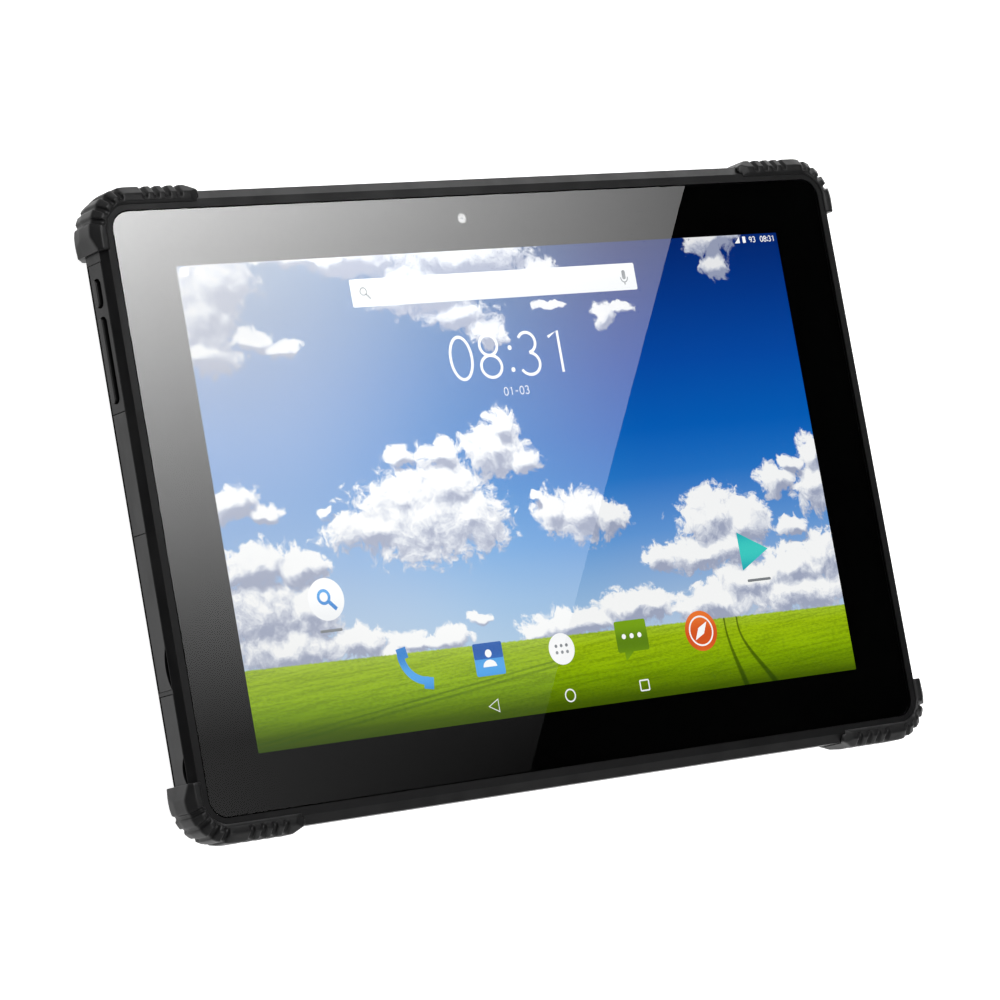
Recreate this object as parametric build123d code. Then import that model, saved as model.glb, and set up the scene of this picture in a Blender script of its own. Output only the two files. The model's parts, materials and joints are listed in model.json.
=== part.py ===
from build123d import *
import os

# A ten-inch rugged tablet that serves as a field data collector. It lies on its back:
# +X runs along the long edge to the right of the screen, +Y towards the camera edge and +Z out
# of the screen. The origin is the middle of the underside, where the corner guards rest.
# All lengths are millimetres. "Half" sizes are measured from the centre.

# Body of the tablet: a frame and a shell that share one outline
BODY_HALF_X = 131.4
BODY_HALF_Y = 88.9
BODY_CORNER = 11.0
BODY_REAR = 1.6
REAR_INSET = 4.6
REAR_SLOPE_TOP = 7.1
SEAM = 6.6
EDGE_BOTTOM = 14.6
LIP_HALF_X = 129.65
LIP_HALF_Y = 86.3
LIP_CORNER = 8.4
LIP_TOP = 16.7

# Cover glass and what lies under it
GLASS_HALF_X = 127.2
GLASS_HALF_Y = 83.8
GLASS_CORNER = 5.6
GLASS_TOP = 16.5
GLASS_THICK = 1.1
GLASS_GAP = 0.12
SEAT_TOP = 15.1
SCREEN_HALF_X = 108.48
SCREEN_HALF_Y = 67.8
CAMERA_X = -8.7
CAMERA_Y = 77.2

# Display stack under the glass
BORDER_INSET = 0.2
CAMERA_HOLE = 1.9
CELL_HALF_X = 114.0
CELL_HALF_Y = 73.0
CELL_BOTTOM = 13.9
CELL_TOP = 15.05
BACKLIGHT_BOTTOM = 12.6
FOAM_STARTS_Y = (-60, -3, 54)
FLEX_X = (-95, -75)
FLEX_OUTER_Y = -74.1

# Room inside the body
LEDGE_BOTTOM = 12.2
LEDGE_HALF_X = 115.5
LEDGE_HALF_Y = 74.2
ROOM_HALF_X = 126.4
ROOM_HALF_Y = 83.0
ROOM_CORNER = 6.0
FLOOR_TOP = 3.4
SHELL_ROOM_HALF_X = 124.6
SHELL_ROOM_HALF_Y = 82.0
SEAL_HALF_X = 128.9
SEAL_HALF_Y = 85.9
SEAL_CORNER = 8.5
SEAL_WIDTH = 1.1
SEAL_DEPTH = 0.8
SEAL_GAP = 0.1
CAMERA_POCKET = 3.6
POCKET_ROOF = 14.4

# Corner guards
GUARD_HALF_X = 133.9
GUARD_HALF_Y = 90.8
GUARD_CORNER = 13.5
GUARD_TOP = 17.5
GUARD_LONG = 36.5
GUARD_SHORT = 17.6
GUARD_RIM = 1.5
GUARD_BEVEL = 2.3
CHEEK_LOW = 6.0
CHEEK_HIGH = 9.6
GROOVE_WIDTH = 1.5
GROOVE_DEPTH = 0.75
GROOVE_REACH = 3.9
CORNER_GROOVE_ANGLES = [16.0, 34.0, 52.0, 70.0]
ARM_GROOVES = 4
ARM_GROOVE_START = 18.6
ARM_GROOVE_STEP = 3.7

# Left side wall: a shallow trough that holds the keys and the port flaps
WALL_X = -BODY_HALF_X
TROUGH_X = -129.0
TROUGH_LOW = 7.2
TROUGH_HIGH = 14.5
TROUGH_END_Y = 70.6
TROUGH_START_Y = -73.4
POST_LOW_Y = -48.65
POST_HIGH_Y = -47.6
COVER_LOW = 7.9
COVER_HIGH = 14.3
SKIN_X = -129.8
PLATE_LOW_Y = 29.2
PLATE_HIGH_Y = 70.4
STRIP_END_Y = -4.5

# Keys
KEY_Z = 10.25
KEY_HEIGHT = 1.9
KEY_SLOT_Z = 10.8
KEY_SLOT_HEIGHT = 3.75
KEY_SLOT_DEPTH = 1.4
KEY_CORNER = 0.8
KEY_PROUD = 0.6
KEY_GAP = 0.15
POWER_Y = 62.4
POWER_LENGTH = 7.2
FLANGE_HEIGHT = 3.6
FLANGE_OVERHANG = 0.9
ROCKER_Y = 43.8
ROCKER_PIN_X = -129.45
ROCKER_PIN_RADIUS = 0.4
ROCKER_LENGTH = 23.3
ROCKER_STEM = 8
STEM_TIP_X = -127.6
KEY_BOARD_Y = (30.5, 67.5)

# Port flaps turn on pins that stand in the trough
FLAP_PIN_X = -130.2
FLAP_PIN_RADIUS = 0.5
KNUCKLE_RADIUS = 1.1
SWING_RADIUS = 1.8
HINGE_OVERHANG = 1.12
UPPER_HINGE_Y = -5.85
UPPER_END_Y = -47.45
LOWER_HINGE_Y = -50.0
LOWER_END_Y = -73.2
PIN_CLEARANCE = 0.05

# Ports, all centred on one height and set back behind the wall
PORT_Z = 11.4
PORT_MOUTH_X = -128.0
RECESS_X = -128.1
JACK_Y = -16.0
USB_Y = -27.5
HDMI_Y = -40.0
CARD_Y = -60.8
POWER_JACK_Y = -70.4
JACK_RADIUS = 1.8
JACK_BORE_LENGTH = 12.0
PORT_BODY_TOP = 13.9
PLUG_TIP_X = -128.35

# Main board and middle chassis
BOARD_BOTTOM = 8.4
BOARD_TOP = 9.4
CHASSIS_BOTTOM = 11.4
CHASSIS_HALF_X = 120.0
CHASSIS_HALF_Y = 76.0
BOARD_X = (-125.2, -52)
BOARD_Y = (-74, 6)
CHIPS = [((-92, -76), (-46, -30), 1.1), ((-94, -82), (-24, -12), 1.0), ((-73, -63), (-44, -34), 0.9)]
SHIELD_CANS = [((-95, -60), (-49, -27)), ((-97, -76), (-26, -9))]
CAN_HEIGHT = 1.9
CAN_WALL = 0.2

# Battery, sound and rear camera
BATTERY_CENTRE = (27, -8)
BATTERY_HALF = (73, 54)
BATTERY_BOTTOM = 6.1
BATTERY_TOP = 11.1
TAPE_STARTS_Y = (-50, -14, 22)
SPEAKER_PLACES = [(36.0, -69.5), (76.0, -69.5)]
SPEAKER_SLOTS = 7
SPEAKER_SLOT_STEP = 3.0
MESH_THICK = 0.3
REAR_CAMERA_X = 92.0
REAR_CAMERA_Y = 60.0
WINDOW_RADIUS = 5.9
FLASH_X = 78.0
FLASH_RADIUS = 2.0
PLATE_RECESS_X = (-30, 30)
PLATE_RECESS_Y = (-66, -48)

# Fasteners: shank radius, and the extra radius of the holes round it
M25 = 1.25
M2 = 1.0
M16 = 0.8
THREAD_GAP = 0.03
CLEAR_GAP = 0.12
HEAD_RECESS = 2.45
HEAD_SEAT = 3.1
SHELL_SCREW_LENGTH = 11.0
CHASSIS_THREAD_TOP = 14.2
INSERT_SPACING = 75.0
INSERT_RADIUS = 3.0
INSERT_TOP = 5.2
INSERT_HOLE = 2.0
INSERT_BORE_TOP = 4.9
SHELL_SCREW_PLACES = [(x, y) for x in (-92, -46, 0, 46, 92) for y in (-79.6, 79.6)]
SHELL_SCREW_PLACES += [(-123.0, 14.0), (123.0, 34.0), (123.0, -34.0)]
GUARD_SCREW_PLACES = [(119.5, 78.5), (105.5, 80.6)]
BOARD_SCREW_PLACES = [(-108, -69), (-60, -69), (-108, -2), (-60, -2)]
CHASSIS_SCREW_PLACES = [(-117.8, 3), (-117.8, 40), (-117.8, 72)]
CHASSIS_SCREW_PLACES += [(117.8, -60), (117.8, 0), (117.8, 60)]


def block(x, y, z):
    """A box between pairs of coordinates."""
    size = Box(x[1] - x[0], y[1] - y[0], z[1] - z[0])
    return Pos((x[0] + x[1]) / 2, (y[0] + y[1]) / 2, (z[0] + z[1]) / 2) * size


def slab(half_x, half_y, corner, bottom, top):
    """An upright prism on a rounded rectangle about the centre."""
    outline = RectangleRounded(2 * half_x, 2 * half_y, corner)
    return Pos(0, 0, bottom) * extrude(outline, amount=top - bottom)


def taper(low, high):
    """A solid between two rounded rectangles, each (height, half_x, half_y, corner)."""
    faces = [Pos(0, 0, z) * RectangleRounded(2 * x, 2 * y, r) for z, x, y, r in (low, high)]
    return loft(faces)


def post(x, y, radius, bottom, top):
    """An upright cylinder."""
    return Pos(x, y, (bottom + top) / 2) * Cylinder(radius, top - bottom)


def side_rod(x, y, z, radius):
    """A cylinder along X between two coordinates x."""
    turn = Pos((x[0] + x[1]) / 2, y, z) * Rot(0, 90, 0)
    return turn * Cylinder(radius, x[1] - x[0])


def side_pad(x, y, z, length, height, corner):
    """A rounded pad that faces along X, between two coordinates x."""
    outline = Plane.YZ * RectangleRounded(length, height, corner)
    return Pos(x[0], y, z) * extrude(outline, amount=x[1] - x[0])


def total(solids):
    """All the solids joined where they meet."""
    joined = solids[0]
    for solid in solids[1:]:
        joined = joined + solid
    return joined


def save(node, shape):
    """Writes one sub-part."""
    export_step(shape, f"parts/{node}.step")


def save_group(node, solids):
    """Writes several like pieces as one sub-part of separate solids."""
    pieces = [solid for shape in solids for solid in shape.solids()]
    save(node, Compound(children=pieces))


# ---------------------------------------------------------------- body outline


def body_envelope():
    """The closed outline that the front frame and the rear shell share."""
    rear = (BODY_REAR, BODY_HALF_X - REAR_INSET, BODY_HALF_Y - REAR_INSET, BODY_CORNER - 3)
    side = (REAR_SLOPE_TOP, BODY_HALF_X, BODY_HALF_Y, BODY_CORNER)
    edge = (EDGE_BOTTOM, BODY_HALF_X, BODY_HALF_Y, BODY_CORNER)
    lip = (LIP_TOP, LIP_HALF_X, LIP_HALF_Y, LIP_CORNER)
    wall = slab(BODY_HALF_X, BODY_HALF_Y, BODY_CORNER, REAR_SLOPE_TOP, EDGE_BOTTOM)
    return taper(rear, side) + wall + taper(edge, lip)


def half_space(bottom, top):
    """A block wider than the body between two heights."""
    reach = GUARD_HALF_X + 10
    return block((-reach, reach), (-reach, reach), (bottom, top))


def port_cuts():
    """Recesses and holes in the left wall for the five ports."""
    recess = (TROUGH_X - 0.1, RECESS_X)
    through = (TROUGH_X - 0.1, -126.0)
    cuts = [
        side_rod(recess, JACK_Y, PORT_Z, 2.7),
        side_rod(through, JACK_Y, PORT_Z, 2.45),
        side_pad(recess, USB_Y, PORT_Z, 11.8, 5.2, 2.0),
        side_pad(through, USB_Y, PORT_Z, 9.2, 3.5, 1.6),
        side_pad(recess, HDMI_Y, PORT_Z, 9.0, 5.0, 1.2),
        side_pad(through, HDMI_Y, PORT_Z, 6.8, 3.2, 0.8),
        side_pad(through, CARD_Y, PORT_Z, 12.0, 1.6, 0.5),
        side_rod(recess, POWER_JACK_Y, PORT_Z, 2.6),
        side_rod(through, POWER_JACK_Y, PORT_Z, 2.35),
    ]
    return total(cuts)


def port_pockets():
    """Room in the frame's ledge for the port bodies, open towards the board."""
    inside = (-127.0, 1 - LEDGE_HALF_X)
    rooms = [
        (JACK_Y, 3.3, POCKET_ROOF),
        (USB_Y, 4.9, 13.6),
        (HDMI_Y, 3.8, 13.6),
        (CARD_Y, 6.6, 12.8),
        (POWER_JACK_Y, 3.1, POCKET_ROOF),
    ]
    return total([block(inside, (y - half, y + half), (LEDGE_BOTTOM - 1, roof)) for y, half, roof in rooms])


def front_frame():
    """Ring round the glass: lip, sloping edge, side walls, and the ledge that carries the glass."""
    frame = body_envelope() & half_space(SEAM, LIP_TOP + 1)
    gap = GLASS_GAP
    frame -= slab(GLASS_HALF_X + gap, GLASS_HALF_Y + gap, GLASS_CORNER + gap, SEAT_TOP, LIP_TOP + 1)
    frame -= slab(LEDGE_HALF_X, LEDGE_HALF_Y, 2, SEAM - 1, SEAT_TOP + 1)
    frame -= slab(ROOM_HALF_X, ROOM_HALF_Y, ROOM_CORNER, SEAM - 1, LEDGE_BOTTOM)
    for low, high in ((TROUGH_START_Y, POST_LOW_Y), (POST_HIGH_Y, TROUGH_END_Y)):
        frame -= block((WALL_X - 1, TROUGH_X), (low, high), (TROUGH_LOW, TROUGH_HIGH))
    frame -= port_cuts()
    frame -= port_pockets()
    # window behind the keys, tall enough for the pressed key's flange, and room for the key board
    window = FLANGE_HEIGHT / 2 + 0.25
    frame -= block((TROUGH_X - 1, -126), KEY_BOARD_Y, (KEY_Z - window, KEY_Z + window))
    frame -= block((-127, -121), (KEY_BOARD_Y[0] - 1, KEY_BOARD_Y[1] + 1), (SEAM - 1, 12.9))
    # holes for the flap pins, and room in which the hinged end of each flap turns
    for hinge_y in (UPPER_HINGE_Y, LOWER_HINGE_Y):
        frame -= post(FLAP_PIN_X, hinge_y, FLAP_PIN_RADIUS + THREAD_GAP, SEAM - 0.1, 15.2)
        frame -= post(FLAP_PIN_X, hinge_y, SWING_RADIUS, TROUGH_LOW, TROUGH_HIGH)
    # pocket for the front camera, and threaded holes under the ledge
    pocket_x = (CAMERA_X - CAMERA_POCKET, CAMERA_X + CAMERA_POCKET)
    pocket_y = (CAMERA_Y - CAMERA_POCKET, CAMERA_Y + CAMERA_POCKET - 0.2)
    frame -= block(pocket_x, pocket_y, (SEAM, SEAT_TOP + 0.2))
    for x, y in SHELL_SCREW_PLACES:
        frame -= post(x, y, M25 + THREAD_GAP, LEDGE_BOTTOM - 0.1, POCKET_ROOF)
    for x, y in CHASSIS_SCREW_PLACES:
        frame -= post(x, y, M2 + THREAD_GAP, LEDGE_BOTTOM - 0.1, CHASSIS_THREAD_TOP)
    return frame


# ---------------------------------------------------------------- rear shell

def insert_places():
    """Centres of the four bracket inserts."""
    half = INSERT_SPACING / 2
    return [(x, y) for x in (-half, half) for y in (-half, half)]


def guard_screw_places():
    """Centres of the guard screws on all four corners."""
    return [(sx * x, sy * y) for sx in (-1, 1) for sy in (-1, 1) for x, y in GUARD_SCREW_PLACES]


def speaker_slots(x, y):
    """A row of short slots through the floor."""
    first = x - (SPEAKER_SLOTS - 1) / 2 * SPEAKER_SLOT_STEP
    slots = []
    for number in range(SPEAKER_SLOTS):
        centre = first + number * SPEAKER_SLOT_STEP
        outline = RectangleRounded(1.2, 6.0, 0.55)
        slots.append(Pos(centre, y, BODY_REAR - 1) * extrude(outline, amount=4))
    return total(slots)


def seal_ring(gap, top):
    """Ring for the seal, or its groove, which is wider by the gap on each side."""
    inner = SEAL_WIDTH + gap
    ring = slab(SEAL_HALF_X + gap, SEAL_HALF_Y + gap, SEAL_CORNER + gap, SEAM - SEAL_DEPTH, top)
    return ring - slab(SEAL_HALF_X - inner, SEAL_HALF_Y - inner, SEAL_CORNER - inner, SEAM - 1, top + 1)


def rear_shell():
    """Shallow tray: floor, sloping sides, seal groove, screw posts and bosses."""
    shell = body_envelope() & half_space(BODY_REAR - 1, SEAM)
    shell -= slab(SHELL_ROOM_HALF_X, SHELL_ROOM_HALF_Y, 5, FLOOR_TOP, SEAM + 1)
    shell -= seal_ring(SEAL_GAP, SEAM + 1)
    for x, y in SHELL_SCREW_PLACES:
        shell += post(x, y, 3.0, FLOOR_TOP - 0.5, LEDGE_BOTTOM)
    for x, y in guard_screw_places():
        shell += post(x, y, 2.6, FLOOR_TOP - 0.5, SEAM - 0.3)
    for x, y in insert_places():
        shell += post(x, y, 4.6, FLOOR_TOP - 0.5, 5.7)
    shell += block((83.5, 100.5), (51.5, 68.5), (FLOOR_TOP - 0.5, 4.2))
    for x, y in SHELL_SCREW_PLACES:
        shell -= post(x, y, M25 + CLEAR_GAP, 0, LEDGE_BOTTOM + 1)
        shell -= post(x, y, HEAD_RECESS, 0, HEAD_SEAT)
    for x, y in guard_screw_places():
        shell -= post(x, y, M25 + THREAD_GAP, 0, 6.0)
    for x, y in insert_places():
        shell -= post(x, y, INSERT_RADIUS, 0, INSERT_TOP)
    for x, y in SPEAKER_PLACES:
        shell -= speaker_slots(x, y)
    shell -= post(REAR_CAMERA_X, REAR_CAMERA_Y, 4.6, 0, 5)
    shell -= post(REAR_CAMERA_X, REAR_CAMERA_Y, WINDOW_RADIUS + 0.1, 0, BODY_REAR + 1)
    shell -= post(FLASH_X, REAR_CAMERA_Y, FLASH_RADIUS + 0.1, 0, 5)
    # shallow blank recess where a rating plate would go
    shell -= block(PLATE_RECESS_X, PLATE_RECESS_Y, (0, BODY_REAR + 0.3))
    return shell


# ---------------------------------------------------------------- corner guards


def guard_block(inset):
    """Closed outline round all four guards, or that outline drawn in by inset."""
    x = GUARD_HALF_X - inset
    y = GUARD_HALF_Y - inset
    corner = GUARD_CORNER - inset
    top = GUARD_TOP - inset
    bottom = inset
    middle = (CHEEK_LOW, x - 0.5, y - 0.5, corner - 0.4)
    rear = taper((bottom, x - 5.6, y - 5.6, corner - 4.5), middle)
    cheek = taper(middle, (CHEEK_HIGH, x, y, corner))
    wall = slab(x, y, corner, CHEEK_HIGH, top - GUARD_BEVEL)
    front = taper((top - GUARD_BEVEL, x, y, corner), (top, x - 2.5, y - 2.4, corner - 2.4))
    return rear + cheek + wall + front


def guard_region():
    """Plan of the +X +Y guard: a long arm along the top edge and a short arm down the side."""
    right = GUARD_HALF_X
    up = GUARD_HALF_Y
    plan = Polyline(
        (right + 2, up + 2),
        (right - GUARD_LONG + 4.5, up + 2),
        (right - GUARD_LONG + 4.0, up),
        (right - GUARD_LONG + 0.4, up - 1.9),
        (right - GUARD_LONG, up - 3.4),
        (right - GUARD_LONG + 1.2, up - 8),
        (right - GUARD_LONG + 9, up - GUARD_SHORT),
        (right - 1.3, up - GUARD_SHORT),
        (right, up - GUARD_SHORT + 4.2),
        (right + 2, up - GUARD_SHORT + 4.2),
        close=True,
    )
    return extrude(make_face(plan), amount=GUARD_TOP + 1)


def guard_grooves():
    """Grooves across the outer faces: four on the long arm and four round the corner."""
    skin = guard_block(0) - guard_block(GROOVE_DEPTH)
    inner = (GUARD_HALF_X - GROOVE_REACH, GUARD_HALF_Y - GROOVE_REACH, GUARD_CORNER - GROOVE_REACH)
    skin -= slab(*inner, 2.5, GUARD_TOP + 1)
    cutters = []
    for number in range(ARM_GROOVES):
        x = GUARD_HALF_X - ARM_GROOVE_START - number * ARM_GROOVE_STEP
        cutters.append(Pos(x, GUARD_HALF_Y, 10) * Box(GROOVE_WIDTH, 12, 15))
    centre = Pos(GUARD_HALF_X - GUARD_CORNER, GUARD_HALF_Y - GUARD_CORNER, 10)
    for angle in CORNER_GROOVE_ANGLES:
        cutters.append(centre * Rot(0, 0, -angle) * Pos(0, GUARD_CORNER, 0) * Box(GROOVE_WIDTH, 9, 15))
    return [skin & cutter for cutter in cutters]


def corner_guard():
    """The +X +Y guard. The others are its mirror images."""
    x = GLASS_HALF_X + GUARD_RIM
    y = GLASS_HALF_Y + GUARD_RIM
    corner = GLASS_CORNER + GUARD_RIM
    top = GUARD_TOP + 0.2
    guard = guard_block(0) & guard_region()
    guard -= slab(x, y, corner, LIP_TOP - 0.2, LIP_TOP + 0.05)
    guard -= taper((LIP_TOP, x, y, corner), (top, x + 1.25, y + 1.25, corner + 1.25))
    guard -= body_envelope()
    for groove in guard_grooves():
        guard -= groove
    # the front face dips at the end of the long arm
    end = GUARD_HALF_X - GUARD_LONG
    low = GUARD_TOP - 1.4
    dip = Polyline((end - 1, GUARD_TOP + 1), (end - 1, low), (end + 3.4, GUARD_TOP + 0.01), close=True)
    dip = extrude(Plane.XZ * make_face(dip), amount=-2 * GUARD_HALF_Y)
    guard -= dip
    for px, py in GUARD_SCREW_PLACES:
        guard -= post(px, py, M25 + CLEAR_GAP, -1, BODY_REAR + 0.1)
        guard -= Pos(px, py, 0.65) * Cone(2.55, M25 + CLEAR_GAP, 1.3)
    return guard


def save_guards():
    """Writes one guard for each corner."""
    right_top = corner_guard()
    left_top = mirror(right_top, about=Plane.YZ)
    save("corner_guard_top_right", right_top)
    save("corner_guard_top_left", left_top)
    save("corner_guard_bottom_right", mirror(right_top, about=Plane.XZ))
    save("corner_guard_bottom_left", mirror(left_top, about=Plane.XZ))


# ---------------------------------------------------------------- glass and display


def cover_glass():
    """Toughened glass over the whole front, with a fine polished edge."""
    bottom = GLASS_TOP - GLASS_THICK
    edge = 0.25
    glass = slab(GLASS_HALF_X, GLASS_HALF_Y, GLASS_CORNER, bottom, GLASS_TOP - edge)
    full = (GLASS_TOP - edge, GLASS_HALF_X, GLASS_HALF_Y, GLASS_CORNER)
    fine = (GLASS_TOP, GLASS_HALF_X - edge, GLASS_HALF_Y - edge, GLASS_CORNER - edge)
    return glass + taper(full, fine)


def glass_border():
    """Black border under the glass that masks and holds it, with a hole over the camera."""
    top = GLASS_TOP - GLASS_THICK
    half_x = GLASS_HALF_X - BORDER_INSET
    half_y = GLASS_HALF_Y - BORDER_INSET
    border = slab(half_x, half_y, GLASS_CORNER - BORDER_INSET, SEAT_TOP, top)
    border -= slab(SCREEN_HALF_X, SCREEN_HALF_Y, 0.3, SEAT_TOP - 1, top + 1)
    return border - post(CAMERA_X, CAMERA_Y, CAMERA_HOLE, SEAT_TOP - 1, top + 1)


def display_parts():
    """Display cell, backlight unit, foam strips and flex."""
    save("display_cell", slab(CELL_HALF_X, CELL_HALF_Y, 1, CELL_BOTTOM, CELL_TOP))
    backlight = slab(CELL_HALF_X + 0.5, CELL_HALF_Y + 0.3, 1, BACKLIGHT_BOTTOM, CELL_BOTTOM)
    save("backlight_unit", backlight)
    foam = (LEDGE_BOTTOM, BACKLIGHT_BOTTOM)
    save_group("display_foam", [block((-100, 100), (y, y + 6), foam) for y in FOAM_STARTS_Y])
    down = block(FLEX_X, (FLEX_OUTER_Y, FLEX_OUTER_Y + 0.6), (BOARD_TOP, 13.6))
    across = block(FLEX_X, (FLEX_OUTER_Y, FLEX_OUTER_Y + 8), (BOARD_TOP, BOARD_TOP + 0.3))
    save("display_flex", down + across)


def front_camera():
    """Camera module behind the border, and its lens."""
    body = block((CAMERA_X - 3, CAMERA_X + 3), (CAMERA_Y - 3, CAMERA_Y + 2.8), (12.4, 14.6))
    barrel = post(CAMERA_X, CAMERA_Y, 2.4, 14.5, 15.05)
    body = (body + barrel) - post(CAMERA_X, CAMERA_Y, 1.5, 14.1, 16)
    save("front_camera", body)
    lens = post(CAMERA_X, CAMERA_Y, 1.45, 14.1, 14.9)
    dome = Pos(CAMERA_X, CAMERA_Y, 13.1) * Sphere(2.3)
    save("front_camera_lens", lens & dome)


# ---------------------------------------------------------------- left side wall


def key_slot(y, length):
    """Opening in the key plate: a rounded slot outside and a close hole behind it."""
    slot_x = (WALL_X - 1, WALL_X + KEY_SLOT_DEPTH)
    slot = side_pad(slot_x, y, KEY_SLOT_Z, length + 1.0, KEY_SLOT_HEIGHT, KEY_SLOT_HEIGHT / 2 - 0.1)
    hole_height = KEY_HEIGHT + 2 * KEY_GAP
    hole_length = length + 2 * KEY_GAP
    hole_x = (WALL_X - 1, TROUGH_X + 1)
    return slot + side_pad(hole_x, y, KEY_Z, hole_length, hole_height, KEY_CORNER + KEY_GAP)


def side_key_plate():
    """Fixed plate in the upper part of the trough that carries both keys."""
    plate = block((WALL_X, TROUGH_X - 0.02), (PLATE_LOW_Y, PLATE_HIGH_Y), (COVER_LOW, COVER_HIGH))
    plate -= key_slot(POWER_Y, POWER_LENGTH)
    plate -= key_slot(ROCKER_Y, ROCKER_LENGTH)
    # relief behind each key for its retaining flange
    relief = (WALL_X + 1.8, TROUGH_X + 1)
    relief_height = FLANGE_HEIGHT + 0.8
    plate -= side_pad(relief, POWER_Y, KEY_Z, POWER_LENGTH + 2.6, relief_height, 0.5)
    plate -= side_pad(relief, ROCKER_Y, KEY_Z, 7.6, relief_height, 0.5)
    return plate - post(ROCKER_PIN_X, ROCKER_Y, ROCKER_PIN_RADIUS + 0.02, KEY_Z - 2.9, KEY_Z + 2.9)


def power_button():
    """Short key with a flange that keeps it in the plate and a stem to its switch."""
    key = side_pad((WALL_X - KEY_PROUD, -129.5), POWER_Y, KEY_Z, POWER_LENGTH, KEY_HEIGHT, KEY_CORNER)
    key = key.fillet(0.3, key.faces().sort_by(Axis.X)[0].edges())
    flange_length = POWER_LENGTH + 2 * FLANGE_OVERHANG
    flange = side_pad((-129.58, TROUGH_X - 0.05), POWER_Y, KEY_Z, flange_length, FLANGE_HEIGHT, 0.4)
    stem = side_pad((-129.1, STEM_TIP_X), POWER_Y, KEY_Z, 2.4, 1.8, 0.3)
    return key + flange + stem


def volume_rocker():
    """Long key that rocks on a pin at its middle."""
    key_x = (WALL_X - KEY_PROUD, -129.75)
    key = side_pad(key_x, ROCKER_Y, KEY_Z, ROCKER_LENGTH, KEY_HEIGHT, KEY_CORNER)
    key = key.fillet(0.3, key.faces().sort_by(Axis.X)[0].edges())
    lug = side_pad((-129.8, -128.7), ROCKER_Y, KEY_Z, 3.0, KEY_HEIGHT, 0.4)
    rocker = key + lug
    for end in (-ROCKER_STEM, ROCKER_STEM):
        rocker += side_pad((-129.8, STEM_TIP_X), ROCKER_Y + end, KEY_Z, 2.2, 1.8, 0.3)
    return rocker - post(ROCKER_PIN_X, ROCKER_Y, ROCKER_PIN_RADIUS + PIN_CLEARANCE, KEY_Z - 2, KEY_Z + 2)


def key_board():
    """Thin board behind the keys with three tactile switches."""
    save("key_board", block((-126.2, -125.4), KEY_BOARD_Y, (7.6, 12.6)))
    switches = []
    for y in (POWER_Y, ROCKER_Y - ROCKER_STEM, ROCKER_Y + ROCKER_STEM):
        body = block((-127.0, -126.2), (y - 1.7, y + 1.7), (KEY_Z - 1.5, KEY_Z + 1.5))
        switches.append(body + side_rod((-127.1, -126.9), y, KEY_Z, 0.7))
    save_group("key_switches", switches)


def port_flap(hinge_y, end_y, plugs, notch_radius, notch_y):
    """Flap over some ports: a flush skin, a knuckle on a pin, sealing plugs and a finger notch."""
    height = (COVER_LOW, COVER_HIGH)
    flap = block((WALL_X, SKIN_X), (end_y, hinge_y + HINGE_OVERHANG), height)
    flap += post(FLAP_PIN_X, hinge_y, KNUCKLE_RADIUS, *height)
    flap = flap + total(plugs)
    scoop = side_rod((WALL_X - 1, SKIN_X + 0.1), notch_y, COVER_HIGH + notch_radius - 1.4, notch_radius)
    flap -= scoop
    return flap - post(FLAP_PIN_X, hinge_y, FLAP_PIN_RADIUS + PIN_CLEARANCE, 5, 16)


def save_side_wall():
    """Writes everything that sits in the trough."""
    save("side_key_plate", side_key_plate())
    save("power_button", power_button())
    save("volume_rocker", volume_rocker())
    save("rocker_pin", post(ROCKER_PIN_X, ROCKER_Y, ROCKER_PIN_RADIUS, KEY_Z - 2.7, KEY_Z + 2.7))
    across = (STRIP_END_Y, PLATE_LOW_Y - 0.25)
    strip = block((WALL_X, TROUGH_X - 0.02), across, (COVER_LOW, COVER_HIGH))
    strip -= post(FLAP_PIN_X, UPPER_HINGE_Y, SWING_RADIUS, COVER_LOW - 1, COVER_HIGH + 1)
    save("side_trim_strip", strip)
    plug_x = (SKIN_X - 0.1, PLUG_TIP_X)
    upper_plugs = [
        side_rod(plug_x, JACK_Y, PORT_Z, 2.3),
        side_pad(plug_x, USB_Y, PORT_Z, 11.0, 4.5, 1.6),
        side_pad(plug_x, HDMI_Y, PORT_Z, 8.2, 4.3, 0.9),
    ]
    save("upper_port_flap", port_flap(UPPER_HINGE_Y, UPPER_END_Y, upper_plugs, 12.0, -41.7))
    lower_plugs = [
        side_pad((SKIN_X - 0.1, -129.15), CARD_Y, PORT_Z, 12.6, 3.0, 0.8),
        side_rod(plug_x, POWER_JACK_Y, PORT_Z, 2.2),
    ]
    save("lower_port_flap", port_flap(LOWER_HINGE_Y, LOWER_END_Y, lower_plugs, 6.0, -70.0))
    pins = [post(FLAP_PIN_X, y, FLAP_PIN_RADIUS, SEAM + 0.1, 15.0) for y in (UPPER_HINGE_Y, LOWER_HINGE_Y)]
    save_group("flap_hinge_pins", pins)


# ---------------------------------------------------------------- ports


def audio_jack():
    """Headset jack with a round nose that reaches into the wall."""
    back = PORT_MOUTH_X + JACK_BORE_LENGTH
    body = block((-126.2, back + 0.9), (JACK_Y - 3, JACK_Y + 3), (BOARD_TOP, PORT_BODY_TOP))
    body += side_rod((PORT_MOUTH_X, -126), JACK_Y, PORT_Z, 2.35)
    return body - side_rod((PORT_MOUTH_X - 1, back), JACK_Y, PORT_Z, JACK_RADIUS)


def power_jack():
    """Round power inlet with a pin in its middle."""
    across = (POWER_JACK_Y - 2.9, POWER_JACK_Y + 2.9)
    body = block((-126.2, -117), across, (BOARD_TOP, PORT_BODY_TOP))
    body += side_rod((PORT_MOUTH_X, -126), POWER_JACK_Y, PORT_Z, 2.25)
    body -= side_rod((PORT_MOUTH_X - 1, -118.5), POWER_JACK_Y, PORT_Z, 1.8)
    return body + side_rod((PORT_MOUTH_X + 1, -118), POWER_JACK_Y, PORT_Z, 0.65)


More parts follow.
